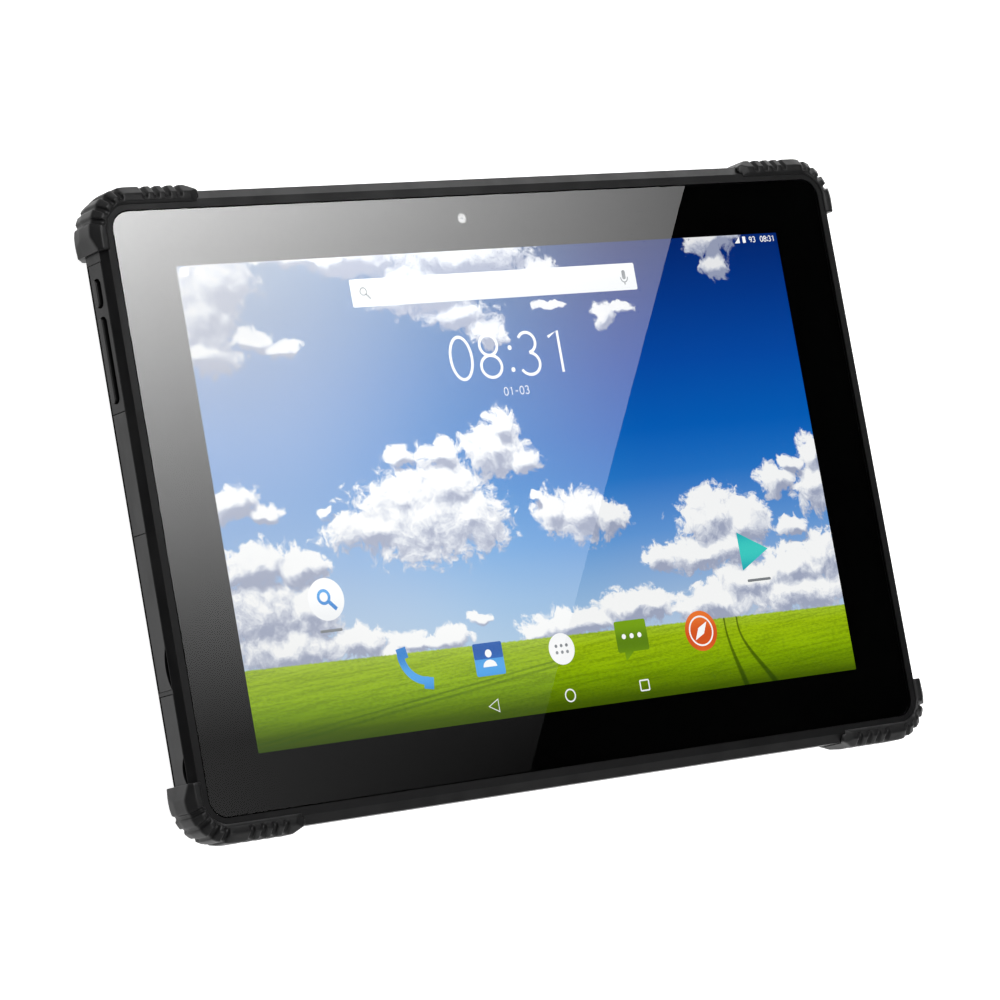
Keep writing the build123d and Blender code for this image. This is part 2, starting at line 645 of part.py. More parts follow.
def usb_port():
    """USB-C receptacle: an oval shell with a tongue."""
    shell = side_pad((PORT_MOUTH_X, -119), USB_Y, PORT_Z, 8.94, 3.26, 1.6)
    shell -= side_pad((PORT_MOUTH_X - 1, -120), USB_Y, PORT_Z, 8.34, 2.56, 1.25)
    feet = block((-124, -120), (USB_Y - 4.4, USB_Y + 4.4), (BOARD_TOP, PORT_Z - 1.4))
    tongue = side_pad((PORT_MOUTH_X + 0.8, -119.5), USB_Y, PORT_Z, 6.7, 0.7, 0.3)
    return shell + feet + tongue


def hdmi_port():
    """Micro-HDMI receptacle."""
    shell = side_pad((PORT_MOUTH_X, -120), HDMI_Y, PORT_Z, 6.5, 2.9, 0.6)
    shell -= side_pad((PORT_MOUTH_X - 1, -121), HDMI_Y, PORT_Z, 6.0, 2.4, 0.5)
    feet = block((-125, -121), (HDMI_Y - 3.2, HDMI_Y + 3.2), (BOARD_TOP, PORT_Z - 1.3))
    tongue = side_pad((PORT_MOUTH_X + 0.8, -120.5), HDMI_Y, PORT_Z, 4.8, 0.6, 0.2)
    return shell + feet + tongue


def card_slot():
    """Memory card reader behind the lower flap."""
    body = block((-126.0, -112), (CARD_Y - 6.3, CARD_Y + 6.3), (BOARD_TOP, 12.4))
    return body - block((-127, -113.5), (CARD_Y - 5.6, CARD_Y + 5.6), (PORT_Z - 0.5, PORT_Z + 0.5))


def save_ports():
    """Writes the five ports."""
    save("audio_jack", audio_jack())
    save("power_jack", power_jack())
    save("usb_c_port", usb_port())
    save("micro_hdmi_port", hdmi_port())
    save("card_slot", card_slot())


# ---------------------------------------------------------------- inside


def middle_chassis():
    """Metal plate behind the display, notched round the ports, with posts for the board."""
    plate = slab(CHASSIS_HALF_X, CHASSIS_HALF_Y, 3, CHASSIS_BOTTOM, LEDGE_BOTTOM)
    plate -= block((-125, -110), (-80, -5.5), (11, 13))
    plate -= block((CAMERA_X - 5, CAMERA_X + 5), (72, 80), (11, 13))
    plate -= block((-98, -72), (-80, -72.5), (11, 13))
    for x, y in BOARD_SCREW_PLACES:
        plate += post(x, y, 2.2, BOARD_TOP, CHASSIS_BOTTOM + 0.1)
    for x, y in BOARD_SCREW_PLACES:
        plate -= post(x, y, M16 + THREAD_GAP, BOARD_TOP - 1, 11.9)
    for x, y in CHASSIS_SCREW_PLACES:
        plate -= post(x, y, M2 + CLEAR_GAP, 11, 13)
    return plate


def main_board():
    """Circuit board at the port end of the tablet."""
    board = block(BOARD_X, BOARD_Y, (BOARD_BOTTOM, BOARD_TOP))
    # clear of the nearest shell screw post
    board -= post(*SHELL_SCREW_PLACES[0], 6.2, BOARD_BOTTOM - 1, BOARD_TOP + 1)
    for x, y in BOARD_SCREW_PLACES:
        board -= post(x, y, M16 + CLEAR_GAP, BOARD_BOTTOM - 1, BOARD_TOP + 1)
    return board


def shield_can(x, y):
    """A thin can, open towards the board, over some chips."""
    base = BOARD_BOTTOM - CAN_HEIGHT
    inner_x = (x[0] + CAN_WALL, x[1] - CAN_WALL)
    inner_y = (y[0] + CAN_WALL, y[1] - CAN_WALL)
    return block(x, y, (base, BOARD_BOTTOM)) - block(inner_x, inner_y, (base + CAN_WALL, BOARD_TOP))


def save_boards():
    """Writes the boards and what is soldered to them."""
    save("middle_chassis", middle_chassis())
    save("main_board", main_board())
    chips = [block(x, y, (BOARD_BOTTOM - height, BOARD_BOTTOM)) for x, y, height in CHIPS]
    save_group("board_chips", chips)
    save_group("shield_cans", [shield_can(x, y) for x, y in SHIELD_CANS])
    save("backup_cell", post(-68, -60, 5.0, BOARD_BOTTOM - 2.2, BOARD_BOTTOM))
    save("microphone", block((-122, -118), (-1, 2.5), (BOARD_BOTTOM - 1.1, BOARD_BOTTOM)))
    save("positioning_antenna", block((-44, -20), (51, 75), (FLOOR_TOP, FLOOR_TOP + 4)))
    save("cellular_antenna", block((0, 70), (70.5, 76.5), (FLOOR_TOP, FLOOR_TOP + 0.4)))
    save("wireless_antenna", block((112, 118), (-28, 28), (FLOOR_TOP, FLOOR_TOP + 0.4)))
    save("vibration_motor", post(-90, 45, 5.0, FLOOR_TOP, FLOOR_TOP + 3))


def save_power_and_sound():
    """Writes the battery, its strips and lead, the speakers and their meshes."""
    pack = slab(*BATTERY_HALF, 3, BATTERY_BOTTOM, BATTERY_TOP)
    save("battery_pack", Pos(*BATTERY_CENTRE, 0) * pack)
    tape = (BATTERY_TOP, CHASSIS_BOTTOM)
    save_group("battery_tape", [block((-30, 84), (y, y + 12), tape) for y in TAPE_STARTS_Y])
    save("battery_lead", block((-58, -46), (-14, -4), (BOARD_TOP, 10.6)))
    mesh_top = FLOOR_TOP + MESH_THICK
    speakers = []
    meshes = []
    for x, y in SPEAKER_PLACES:
        speakers.append(block((x - 14, x + 14), (y - 5.4, y + 5.4), (mesh_top, FLOOR_TOP + 5)))
        meshes.append(block((x - 11, x + 11), (y - 4, y + 4), (FLOOR_TOP, mesh_top)))
    save_group("speakers", speakers)
    save_group("speaker_mesh", meshes)


def save_rear_camera():
    """Writes the rear camera, its window and the flash lamp."""
    body = Pos(REAR_CAMERA_X, REAR_CAMERA_Y, 5.8) * Box(10, 10, 3.2)
    body += post(REAR_CAMERA_X, REAR_CAMERA_Y, 3.8, FLOOR_TOP, 4.3)
    body -= post(REAR_CAMERA_X, REAR_CAMERA_Y, 2.0, 3, 3.9)
    save("rear_camera", body)
    window = post(REAR_CAMERA_X, REAR_CAMERA_Y, WINDOW_RADIUS, BODY_REAR + 0.1, BODY_REAR + 1)
    save("rear_camera_window", window)
    lamp = post(FLASH_X, REAR_CAMERA_Y, FLASH_RADIUS, BODY_REAR + 0.2, FLOOR_TOP)
    save("flash_lamp", lamp + post(FLASH_X, REAR_CAMERA_Y, 2.9, FLOOR_TOP, 4.4))


# ---------------------------------------------------------------- fasteners


def pan_screw(x, y, shank, head, head_height, seat, length):
    """Screw with its head below the seat and its shank pointing up, with a cross recess."""
    screw = post(x, y, shank, seat, seat + length)
    screw += post(x, y, head, seat - head_height, seat)
    bottom = seat - head_height
    for size in ((head * 1.1, head * 0.25), (head * 0.25, head * 1.1)):
        screw -= Pos(x, y, bottom + head_height * 0.25) * Box(*size, head_height * 0.5)
    return screw


def guard_screw(x, y):
    """Countersunk screw that holds a guard to the shell."""
    screw = Pos(x, y, 0.7) * Cone(2.35, M25, 1.1) + post(x, y, M25, 1.25, 5.8)
    for size in ((2.6, 0.6), (0.6, 2.6)):
        screw -= Pos(x, y, 0.35) * Box(*size, 0.6)
    return screw


def bracket_insert(x, y):
    """Blind threaded insert, with its bore open to the rear."""
    insert = post(x, y, INSERT_RADIUS - 0.02, BODY_REAR + 0.05, INSERT_TOP)
    return insert - post(x, y, INSERT_HOLE, BODY_REAR - 1, INSERT_BORE_TOP)


def save_fasteners():
    """Writes the screws and inserts."""
    sizes = [
        ("shell_screws", SHELL_SCREW_PLACES, M25, 2.25, 1.3, HEAD_SEAT, SHELL_SCREW_LENGTH),
        ("board_screws", BOARD_SCREW_PLACES, M16, 1.5, 0.8, BOARD_BOTTOM, 3.2),
        ("chassis_screws", CHASSIS_SCREW_PLACES, M2, 1.9, 0.9, CHASSIS_BOTTOM, 2.6),
    ]
    for node, places, shank, head, head_height, seat, length in sizes:
        save_group(node, [pan_screw(x, y, shank, head, head_height, seat, length) for x, y in places])
    save_group("guard_screws", [guard_screw(x, y) for x, y in guard_screw_places()])
    save_group("bracket_inserts", [bracket_insert(x, y) for x, y in insert_places()])


def main():
    """Writes every sub-part."""
    os.makedirs("parts", exist_ok=True)
    save("front_frame", front_frame())
    save("rear_shell", rear_shell())
    save("shell_seal", seal_ring(0, SEAM))
    save_guards()
    save("cover_glass", cover_glass())
    save("glass_border", glass_border())
    display_parts()
    front_camera()
    save_side_wall()
    key_board()
    save_ports()
    save_boards()
    save_power_and_sound()
    save_rear_camera()
    save_fasteners()


main()
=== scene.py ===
"""Looks of a ten-inch rugged tablet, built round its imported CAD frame.

Lengths are in metres. The lit picture and its marks are laid out in millimetres
from the middle of the screen, x to the right and y to the top.
"""
import json
import math
import bmesh
import bpy
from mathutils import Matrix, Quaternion, Vector


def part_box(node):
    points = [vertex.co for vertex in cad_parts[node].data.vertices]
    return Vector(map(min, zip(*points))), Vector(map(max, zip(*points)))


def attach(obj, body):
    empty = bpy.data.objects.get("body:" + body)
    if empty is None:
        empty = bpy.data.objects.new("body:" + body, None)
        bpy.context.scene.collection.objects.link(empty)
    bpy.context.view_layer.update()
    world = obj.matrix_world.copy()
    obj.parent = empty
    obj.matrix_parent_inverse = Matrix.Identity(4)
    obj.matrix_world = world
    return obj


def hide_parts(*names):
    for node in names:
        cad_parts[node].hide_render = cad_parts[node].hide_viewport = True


MM = 0.001

# Camera: where it looks, from where, and how it is turned
TARGET = Vector((-0.01352, -0.00564, 0.0165))
AZIMUTH = math.radians(-80.615)
ELEVATION = math.radians(52.8)
DISTANCE = 1.1845
ROLL = math.radians(72.49)
LENS_MM = 149.0
BACK = Vector((math.sin(AZIMUTH) * math.cos(ELEVATION),
               -math.cos(AZIMUTH) * math.cos(ELEVATION),
               math.sin(ELEVATION)))
EYE = TARGET + BACK * DISTANCE

# Studio
FLOOR_SIZE = 30.0
FLOOR_DROP = 0.0002
FLOOR_GLOW = 1.0
PAPER_SCALE = 6.0
CARD_HEIGHT = 1.2
CARD_EDGE_X = 0.028
CARD_EDGE_SLOPE = 0.57
CARD_MARGIN = 0.012
GLASS_REFLECTANCE = 0.042

# Glare on the glass, in display levels from 0 to 255 and in millimetres on the glass. It starts
# at the left, rises towards the top, and falls to the right, faster near the top and bottom.
FULL_LEVEL = 255
DISPLAY_GAMMA = 2.2
GLARE_LEFT = -118.0
GLARE_LEVEL = 118
GLARE_LEAST_LEVEL = 45
GLARE_PER_UP = 1.15
GLARE_PER_RIGHT = -0.18
GLARE_PER_RIGHT_AND_UP = -0.0052
GLARE_LOW_TURN = -70.0

# Glass and guards, millimetres
GLASS_CORNER = 5.6
GLASS_EDGE = 0.25
GUARD_VOXEL = 0.3
GUARD_SMOOTHING = 7
SMOOTHING_FACTOR = 0.5
EDGE_STEPS = 4

# Finishes: scale of each noise (per metre), its detail and roughness, and how strongly it shows.
# WIRE_DEPTH, RING_BLUR and RING_WAVER are in millimetres.
MOTTLE_SCALE = 60.0
MOTTLE_DETAIL = 4.0
MOTTLE_SHARE = 0.6
GRAIN_DETAIL = 2.0
GRAIN_ROUGH = 0.6
GRAIN_SHARE = 0.4
TONE_SPREAD = 0.15
WIPE_STRETCH = (1.0, 0.4, 1.0)
WIPE_SCALE = 140.0
WIPE_DETAIL = 5.0
WIPE_ROUGH = 0.65
GLOSS_SPREAD = 0.06
CLEAR_WIPE_STRETCH = (1.0, 0.35, 1.0)
CLEAR_WIPE_SCALE = 55.0
CLEAR_WIPE_DETAIL = 6.0
CLEAR_WIPE_ROUGH = 0.7
CLEAR_WIPE_HAZE = 0.01
CLEAR_WIPE_TINT = 0.985
GLASS_IOR = 1.5
WIRE_DEPTH = 0.05
RING_BLUR = 0.06
RING_WAVER = 0.05
RING_WAVER_SCALE = 900.0

# Screen picture, millimetres
UNLIT = (0.002, 0.002, 0.002, 1)
HORIZON = -46.8
HORIZON_SLOPE = 0.0125
HORIZON_RAGGED_SCALE = 0.8
HORIZON_RAGGED_HEIGHT = 0.9
HORIZON_BLUR_BELOW = 0.35
HORIZON_BLUR_ABOVE = 0.15
SKY_SPAN = 140
FACE_DEPTH = 0.05
MARK_THICKNESS = 0.02
LAYER_RISE = 0.05
CLOCK_HEIGHT = 13.0

# Digits, in parts of their height
DIGIT_ADVANCE = 0.79
DIGIT_GAP = 0.18
COLON_ADVANCE = 0.3
COLON_INSET = 0.1
COLON_RISES = (0.16, 0.66)
COLON_DOT = 0.8

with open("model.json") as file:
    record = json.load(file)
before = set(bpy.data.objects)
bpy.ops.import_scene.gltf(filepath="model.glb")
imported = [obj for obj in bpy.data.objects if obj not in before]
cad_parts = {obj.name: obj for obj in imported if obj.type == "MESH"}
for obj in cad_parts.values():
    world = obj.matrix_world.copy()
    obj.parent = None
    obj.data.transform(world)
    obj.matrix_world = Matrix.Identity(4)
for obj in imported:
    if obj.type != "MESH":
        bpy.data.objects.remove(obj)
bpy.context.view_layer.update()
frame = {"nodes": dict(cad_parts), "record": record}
NODES = frame["nodes"]


def tint(red, green, blue):
    """A display colour from 0 to 255 as the linear colour that the shaders take (sRGB curve)."""
    return tuple(((c / 255 + 0.055) / 1.055) ** 2.4 if c > 10 else c / 255 / 12.92
                 for c in (red, green, blue)) + (1.0,)


# ---------------------------------------------------------------- camera, light and floor

def add_camera():
    """The camera at its place, turned to the target and then about its own axis."""
    data = bpy.data.cameras.new("camera")
    data.lens = LENS_MM
    camera = bpy.data.objects.new("camera", data)
    camera.location = EYE
    camera.rotation_mode = "QUATERNION"
    level = (-BACK).to_track_quat("-Z", "Y")
    camera.rotation_quaternion = level @ Quaternion((0, 0, 1), ROLL)
    bpy.context.scene.camera = link(camera)


class Graph:
    """Adds and joins the nodes of one shader tree. Each call gives an output socket."""

    def __init__(self, tree):
        self.tree = tree

    def add(self, kind, *inputs, out=0, **settings):
        """A new node of that kind, with its settings and its first inputs."""
        node = self.tree.nodes.new("ShaderNode" + kind)
        for name, value in settings.items():
            setattr(node, name, value)
        for index, value in enumerate(inputs):
            if value is not None:
                self.put(node.inputs[index], value)
        return node.outputs[out] if len(node.outputs) else None

    def put(self, socket, value):
        """Joins an output to the socket, or sets the socket's own value."""
        if isinstance(value, bpy.types.NodeSocket):
            self.tree.links.new(value, socket)
        else:
            socket.default_value = value

    def math(self, operation, *values):
        """Arithmetic on numbers."""
        return self.add("Math", *values, operation=operation)

    def vector(self, operation, *values, out=0):
        """Arithmetic on vectors; output 1 is the number that some operations give."""
        return self.add("VectorMath", *values, operation=operation, out=out)

    def noise(self, place, scale, detail=3.0, rough=0.55, colour=False, over="3D"):
        """Cloudy noise about 0.5, as a number or a colour, over three or two dimensions."""
        return self.add("TexNoise", place, None, scale, detail, rough, out=int(colour),
                        noise_dimensions=over)

    def between(self, value, low, high, at_low=0.0, at_high=1.0):
        """Runs smoothly from at_low to at_high as the value goes from low to high."""
        return self.add("MapRange", value, low, high, at_low, at_high,
                        interpolation_type="SMOOTHSTEP")

    def mix(self, share, first, second):
        """From the first colour to the second as the share goes from 0 to 1."""
        node = self.tree.nodes.new("ShaderNodeMix")
        node.data_type = "RGBA"
        for index, value in ((0, share), (6, first), (7, second)):
            self.put(node.inputs[index], value)
        return node.outputs[2]

    def ramp(self, value, stops):
        """Colour ramp over (position, colour) stops."""
        node = self.tree.nodes.new("ShaderNodeValToRGB")
        self.put(node.inputs[0], value)
        elements = node.color_ramp.elements
        elements[0].position, elements[0].color = stops[0]
        elements[1].position, elements[1].color = stops[-1]
        for position, colour in stops[1:-1]:
            elements.new(position).color = colour
        return node.outputs[0]

    def places(self, scale=1.0):
        """Object coordinates times a scale, and their three parts."""
        place = self.add("TexCoord", out=3)
        if scale != 1.0:
            place = self.vector("SCALE", place)
            place.node.inputs["Scale"].default_value = scale
        parts = self.add("SeparateXYZ", place).node.outputs
        return place, parts[0], parts[1], parts[2]


def new_material(name):
    """A new Principled material, its graph and its shader."""
    material = bpy.data.materials.new(name)
    material.use_nodes = True
    graph = Graph(material.node_tree)
    return material, graph, material.node_tree.nodes["Principled BSDF"]


def set_inputs(graph, shader, **values):
    """Sets or joins inputs by name, with _ for each blank."""
    for name, value in values.items():
        graph.put(shader.inputs[name.replace("_", " ")], value)


def link(obj):
    """Puts the object into the scene, and gives it back."""
    bpy.context.collection.objects.link(obj)
    return obj


def sheet_object(name, corners):
    """One flat face with those corners."""
    mesh = bpy.data.meshes.new(name)
    mesh.from_pydata(corners, [], [range(len(corners))])
    return link(bpy.data.objects.new(name, mesh))


def add_floor():
    """A pale floor that glows, so that the object throws hardly any shadow."""
    half = FLOOR_SIZE / 2
    floor = sheet_object("studio_floor", [(-half, -half, -FLOOR_DROP), (half, -half, -FLOOR_DROP),
                                          (half, half, -FLOOR_DROP), (-half, half, -FLOOR_DROP)])
    material, graph, shader = new_material("studio_paper")
    place, *_ = graph.places()
    mottle = graph.noise(place, PAPER_SCALE)
    colour = graph.mix(mottle, (0.48, 0.48, 0.48, 1), (0.52, 0.52, 0.52, 1))
    lit = graph.mix(mottle, (0.97, 0.97, 0.97, 1), (1.0, 1.0, 1.0, 1))
    set_inputs(graph, shader, Base_Color=colour, Roughness=0.9, Emission_Color=lit)
    shader.inputs["Emission Strength"].default_value = FLOOR_GLOW
    shader.inputs["Specular IOR Level"].default_value = 0.1
    floor.data.materials.append(material)


def add_world():
    """Bright round the horizon and dark above, as inside a tall open-topped light tent."""
    world = bpy.data.worlds.new("studio_world")
    bpy.context.scene.world = world
    world.use_nodes = True
    graph = Graph(world.node_tree)
    height = graph.add("SeparateXYZ", graph.add("TexCoord", out=0), out=2)
    glow = graph.ramp(height, [(0.0, (0.85, 0.85, 0.85, 1)), (0.12, (0.45, 0.45, 0.45, 1)),
                               (0.3, (0.06, 0.06, 0.06, 1)), (0.5, (0.004, 0.004, 0.004, 1))])
    graph.put(world.node_tree.nodes["Background"].inputs[0], glow)


def area_light(name, place, size, watts):
    """A rectangular light that faces the middle of the object's underside."""
    data = bpy.data.lights.new(name, "AREA")
    data.shape = "RECTANGLE"
    data.size, data.size_y = size
    data.energy = watts
    light = link(bpy.data.objects.new(name, data))
    light.location = place
    light.rotation_mode = "QUATERNION"
    light.rotation_quaternion = (-Vector(place)).to_track_quat("-Z", "Y")


def card_reach():
    """How far the card lies along a sight line that mirrors off the glass: 1 is at the glass."""
    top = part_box("cover_glass")[1].z
    return (CARD_HEIGHT - 2 * top + EYE.z) / (EYE.z - top)


def card_point(x, y):
    """Where the sight line that mirrors off the glass at (x, y) meets the card's height."""
    reach = card_reach()
    return (EYE.x + (x - EYE.x) * reach, EYE.y + (y - EYE.y) * reach, CARD_HEIGHT)


def add_glare_card():
    """Softbox that mirrors in the left of the glass, with a straight slanting edge."""
    low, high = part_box("cover_glass")
    bottom, top, left = low.y - CARD_MARGIN, high.y + CARD_MARGIN, low.x - CARD_MARGIN
    outline = [(left, bottom), (CARD_EDGE_X + CARD_EDGE_SLOPE * bottom, bottom),
               (CARD_EDGE_X + CARD_EDGE_SLOPE * top, top), (left, top)]
    card = sheet_object("glare_card", [card_point(x, y) for x, y in outline])
    material = bpy.data.materials.new("softbox_front")
    material.use_nodes = True
    material.node_tree.nodes.clear()
    graph = Graph(material.node_tree)
    reach = card_reach()
    # back from the card to millimetres on the glass
    to_glass = graph.add("VectorMath", graph.add("TexCoord", out=3), (1 / reach / MM,) * 3,
                         (EYE.x * (1 - 1 / reach) / MM, EYE.y * (1 - 1 / reach) / MM, 0),
                         operation="MULTIPLY_ADD")
    parts = graph.add("SeparateXYZ", to_glass).node.outputs
    x, y = parts[0], parts[1]
    rise = graph.math("MULTIPLY_ADD", y, GLARE_PER_UP / FULL_LEVEL, GLARE_LEVEL / FULL_LEVEL)
    rise = graph.math("MAXIMUM", rise, GLARE_LEAST_LEVEL / FULL_LEVEL)
    from_middle = graph.math("MAXIMUM", y, graph.math("SUBTRACT", GLARE_LOW_TURN, y))
    across = graph.math("MULTIPLY_ADD", from_middle, GLARE_PER_RIGHT_AND_UP / FULL_LEVEL,
                        GLARE_PER_RIGHT / FULL_LEVEL)
    from_left = graph.math("ADD", x, -GLARE_LEFT)
    shown = graph.math("MULTIPLY_ADD", across, from_left, rise)
    light = graph.math("POWER", graph.math("MAXIMUM", shown, 0.0), DISPLAY_GAMMA)
    strength = graph.math("DIVIDE", light, GLASS_REFLECTANCE)
    emission = graph.add("Emission", (1, 1, 1, 1), strength)
    graph.add("OutputMaterial", emission)
    card.data.materials.append(material)
    card.visible_camera = False


def add_studio():
    """Floor, surroundings, three soft lights, and the softbox that mirrors in the glass."""
    add_floor()
    add_world()
    area_light("key_light", (-0.25, 0.75, 1.5), (1.3, 1.0), 34)
    area_light("fill_light", (0.1, -1.1, 1.2), (1.2, 0.8), 14)
    area_light("edge_light", (0.85, 1.25, 0.16), (1.2, 0.3), 3)
    add_glare_card()
    bpy.context.scene.view_settings.view_transform = "Standard"


# ---------------------------------------------------------------- materials of the CAD nodes

def add_bump(graph, shader, height, depth):
    """Surface relief of that depth in millimetres."""
    bump = graph.add("Bump", 1.0, depth * MM)
    graph.put(bump.node.inputs["Height"], height)
    set_inputs(graph, shader, Normal=bump)


def finish(slot, shade, rough, metal=0.0, grain=0.25, depth=0.006, stretch=(1, 1, 1), gloss=0.5):
    """Moulded, printed or metal finish: mottled colour, uneven gloss and a fine grain.

    grain is the size and depth the height of the surface grain, in millimetres.
    """
    material, graph, shader = new_material(slot)
    place, *_ = graph.places()
    lined = graph.vector("MULTIPLY", place, stretch)
    broad = graph.noise(place, MOTTLE_SCALE, MOTTLE_DETAIL)
    fine = graph.noise(lined, 1 / (grain * MM), GRAIN_DETAIL, GRAIN_ROUGH)
    wiped = graph.noise(graph.vector("MULTIPLY", place, WIPE_STRETCH), WIPE_SCALE, WIPE_DETAIL,
                        WIPE_ROUGH)
    dark = tuple(c * (1 - TONE_SPREAD) for c in shade) + (1,)
    light = tuple(min(c * (1 + TONE_SPREAD), 1.0) for c in shade) + (1,)
    tone = graph.math("MULTIPLY_ADD", fine, GRAIN_SHARE, graph.math("MULTIPLY", broad, MOTTLE_SHARE))
    set_inputs(graph, shader, Base_Color=graph.mix(graph.between(tone, 0.3, 0.7), dark, light))
    uneven = graph.between(wiped, 0.35, 0.7, rough - GLOSS_SPREAD, rough + GLOSS_SPREAD)
    speckled = graph.math("MULTIPLY_ADD", fine, GLOSS_SPREAD, uneven)
    set_inputs(graph, shader, Roughness=speckled, Metallic=metal)
    shader.inputs["Specular IOR Level"].default_value = gloss
    add_bump(graph, shader, fine, depth)
    return material


def clear_finish(slot, shade):
    """Clear glass or plastic with faint wiping marks."""
    material, graph, shader = new_material(slot)
    place, *_ = graph.places()
    wiped = graph.noise(graph.vector("MULTIPLY", place, CLEAR_WIPE_STRETCH), CLEAR_WIPE_SCALE,
                        CLEAR_WIPE_DETAIL, CLEAR_WIPE_ROUGH)
    marks = graph.between(wiped, 0.55, 0.75, 0.0, CLEAR_WIPE_HAZE)
    tone = graph.mix(wiped, shade + (1,), tuple(c * CLEAR_WIPE_TINT for c in shade) + (1,))
    set_inputs(graph, shader, Base_Color=tone, Roughness=marks)
    shader.inputs["Transmission Weight"].default_value = 1.0
    shader.inputs["IOR"].default_value = GLASS_IOR
    return material


def woven_mesh_finish(slot, shade, pitch):
    """Fine woven wire of that pitch in millimetres: two crossing sets of ridges, with the openings between
    them painted near black as painted shade.
    """
    material, graph, shader = new_material(slot)
    _, x, y, _ = graph.places(math.pi / (pitch * MM))
    over = graph.math("ABSOLUTE", graph.math("SINE", x))
    under = graph.math("ABSOLUTE", graph.math("SINE", y))
    weave = graph.math("MAXIMUM", over, under)
    shown = graph.between(weave, 0.5, 0.95)
    # The openings between the wires are painted near black: painted shade standing in for the dark space
    # behind the wire.
    set_inputs(graph, shader, Base_Color=graph.mix(shown, (0.004, 0.004, 0.004, 1), shade + (1,)),
               Metallic=shown, Roughness=graph.between(weave, 0.5, 1.0, 0.8, 0.35))
    add_bump(graph, shader, weave, WIRE_DEPTH)
    return material


def ringed_finish(slot, centre, rings):
    """Flat glassy piece with rings of flat colour: (outer radius in mm, colour) from the middle out."""
    material, graph, shader = new_material(slot)
    place = graph.add("TexCoord", out=3)
    flat = graph.vector("MULTIPLY", graph.vector("SUBTRACT", place, centre), (1 / MM, 1 / MM, 0))
    away = graph.vector("LENGTH", flat, out=1)
    away = graph.math("MULTIPLY_ADD", graph.noise(place, RING_WAVER_SCALE), RING_WAVER, away)
    colour = rings[-1][1] + (1,)
    for radius, shade in reversed(rings[:-1]):
        past = graph.between(away, radius - RING_BLUR, radius + RING_BLUR)
        colour = graph.mix(past, shade + (1,), colour)
    set_inputs(graph, shader, Base_Color=colour, Roughness=graph.between(away, 0, 2, 0.08, 0.2))
    shader.inputs["Coat Weight"].default_value = 1.0
    return material


def cad_materials():
    """The finish of each material slot of the record, but for the lit screen."""
    black = (0.0028, 0.0028, 0.003)
    lens_low, lens_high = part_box("front_camera_lens")
    steel = (0.55, 0.55, 0.54)
    return {
        "body_plastic": finish("body_plastic", black, 0.34, grain=0.16, depth=0.003, gloss=0.19),
        "guard_rubber": finish("guard_rubber", (0.005, 0.005, 0.0052), 0.42, grain=0.22, depth=0.006,
                               gloss=0.22),
        "flap_rubber": finish("flap_rubber", (0.005, 0.005, 0.0053), 0.38, grain=0.2, depth=0.005,
                              gloss=0.25),
        "key_plastic": finish("key_plastic", (0.004, 0.004, 0.0042), 0.32, grain=0.12, depth=0.002,
                              gloss=0.2),
        "cover_glass": clear_finish("cover_glass", (0.97, 0.98, 0.98)),
        "border_black": finish("border_black", (0.0012, 0.0012, 0.0012), 0.6, grain=0.1, depth=0.001,
                               gloss=0.0),
        "backlight": finish("backlight", (0.75, 0.75, 0.76), 0.5),
        "chassis_metal": finish("chassis_metal", (0.5, 0.51, 0.52), 0.45, metal=1.0, grain=0.3),
        "board_green": finish("board_green", (0.02, 0.13, 0.05), 0.4, grain=0.5, depth=0.01),
        "chip_black": finish("chip_black", (0.02, 0.02, 0.02), 0.6),
        "shield_tin": finish("shield_tin", (0.6, 0.6, 0.58), 0.35, metal=1.0, stretch=(1, 0.1, 1)),
        "port_steel": finish("port_steel", steel, 0.3, metal=1.0, stretch=(0.1, 1, 1), depth=0.002),
        "port_black": finish("port_black", (0.012, 0.012, 0.012), 0.5),
        "battery_wrap": finish("battery_wrap", (0.04, 0.04, 0.045), 0.35),
        "tape_white": finish("tape_white", (0.75, 0.75, 0.73), 0.6),
        "foam_grey": finish("foam_grey", (0.1, 0.1, 0.1), 0.9, grain=0.4, depth=0.05),
        "flex_amber": finish("flex_amber", (0.4, 0.19, 0.03), 0.35, stretch=(1, 0.1, 1)),
        "cell_steel": finish("cell_steel", (0.65, 0.65, 0.65), 0.25, metal=1.0),
        "motor_steel": finish("motor_steel", steel, 0.35, metal=1.0),
        "ceramic_patch": finish("ceramic_patch", (0.55, 0.45, 0.33), 0.55),
        "antenna_copper": finish("antenna_copper", (0.6, 0.32, 0.16), 0.35, metal=1.0),
        "speaker_black": finish("speaker_black", (0.02, 0.02, 0.02), 0.6),
        "mesh_steel": woven_mesh_finish("mesh_steel", (0.16, 0.16, 0.165), 0.35),
        "lens_glass": ringed_finish("lens_glass", (lens_low + lens_high) / 2,
                                    [(0.45, (0.11, 0.12, 0.14)), (1.5, (0.29, 0.29, 0.29)),
                                     (1.8, (0.20, 0.20, 0.20))]),
        "window_glass": clear_finish("window_glass", (0.35, 0.36, 0.38)),
        "lamp_lens": finish("lamp_lens", (0.75, 0.68, 0.35), 0.2, grain=0.4, depth=0.04),
        "screw_black": finish("screw_black", (0.06, 0.06, 0.065), 0.4, metal=1.0, stretch=(1, 0.3, 1)),
        "screw_plain": finish("screw_plain", (0.5, 0.5, 0.5), 0.35, metal=1.0),
        "insert_brass": finish("insert_brass", (0.62, 0.45, 0.2), 0.32, metal=1.0),
        "pin_steel": finish("pin_steel", (0.5, 0.5, 0.52), 0.25, metal=1.0, stretch=(1, 1, 0.1)),
        "seal_rubber": finish("seal_rubber", (0.03, 0.03, 0.03), 0.7),
        "switch_steel": finish("switch_steel", (0.6, 0.6, 0.58), 0.3, metal=1.0),
    }


# ---------------------------------------------------------------- the lit screen

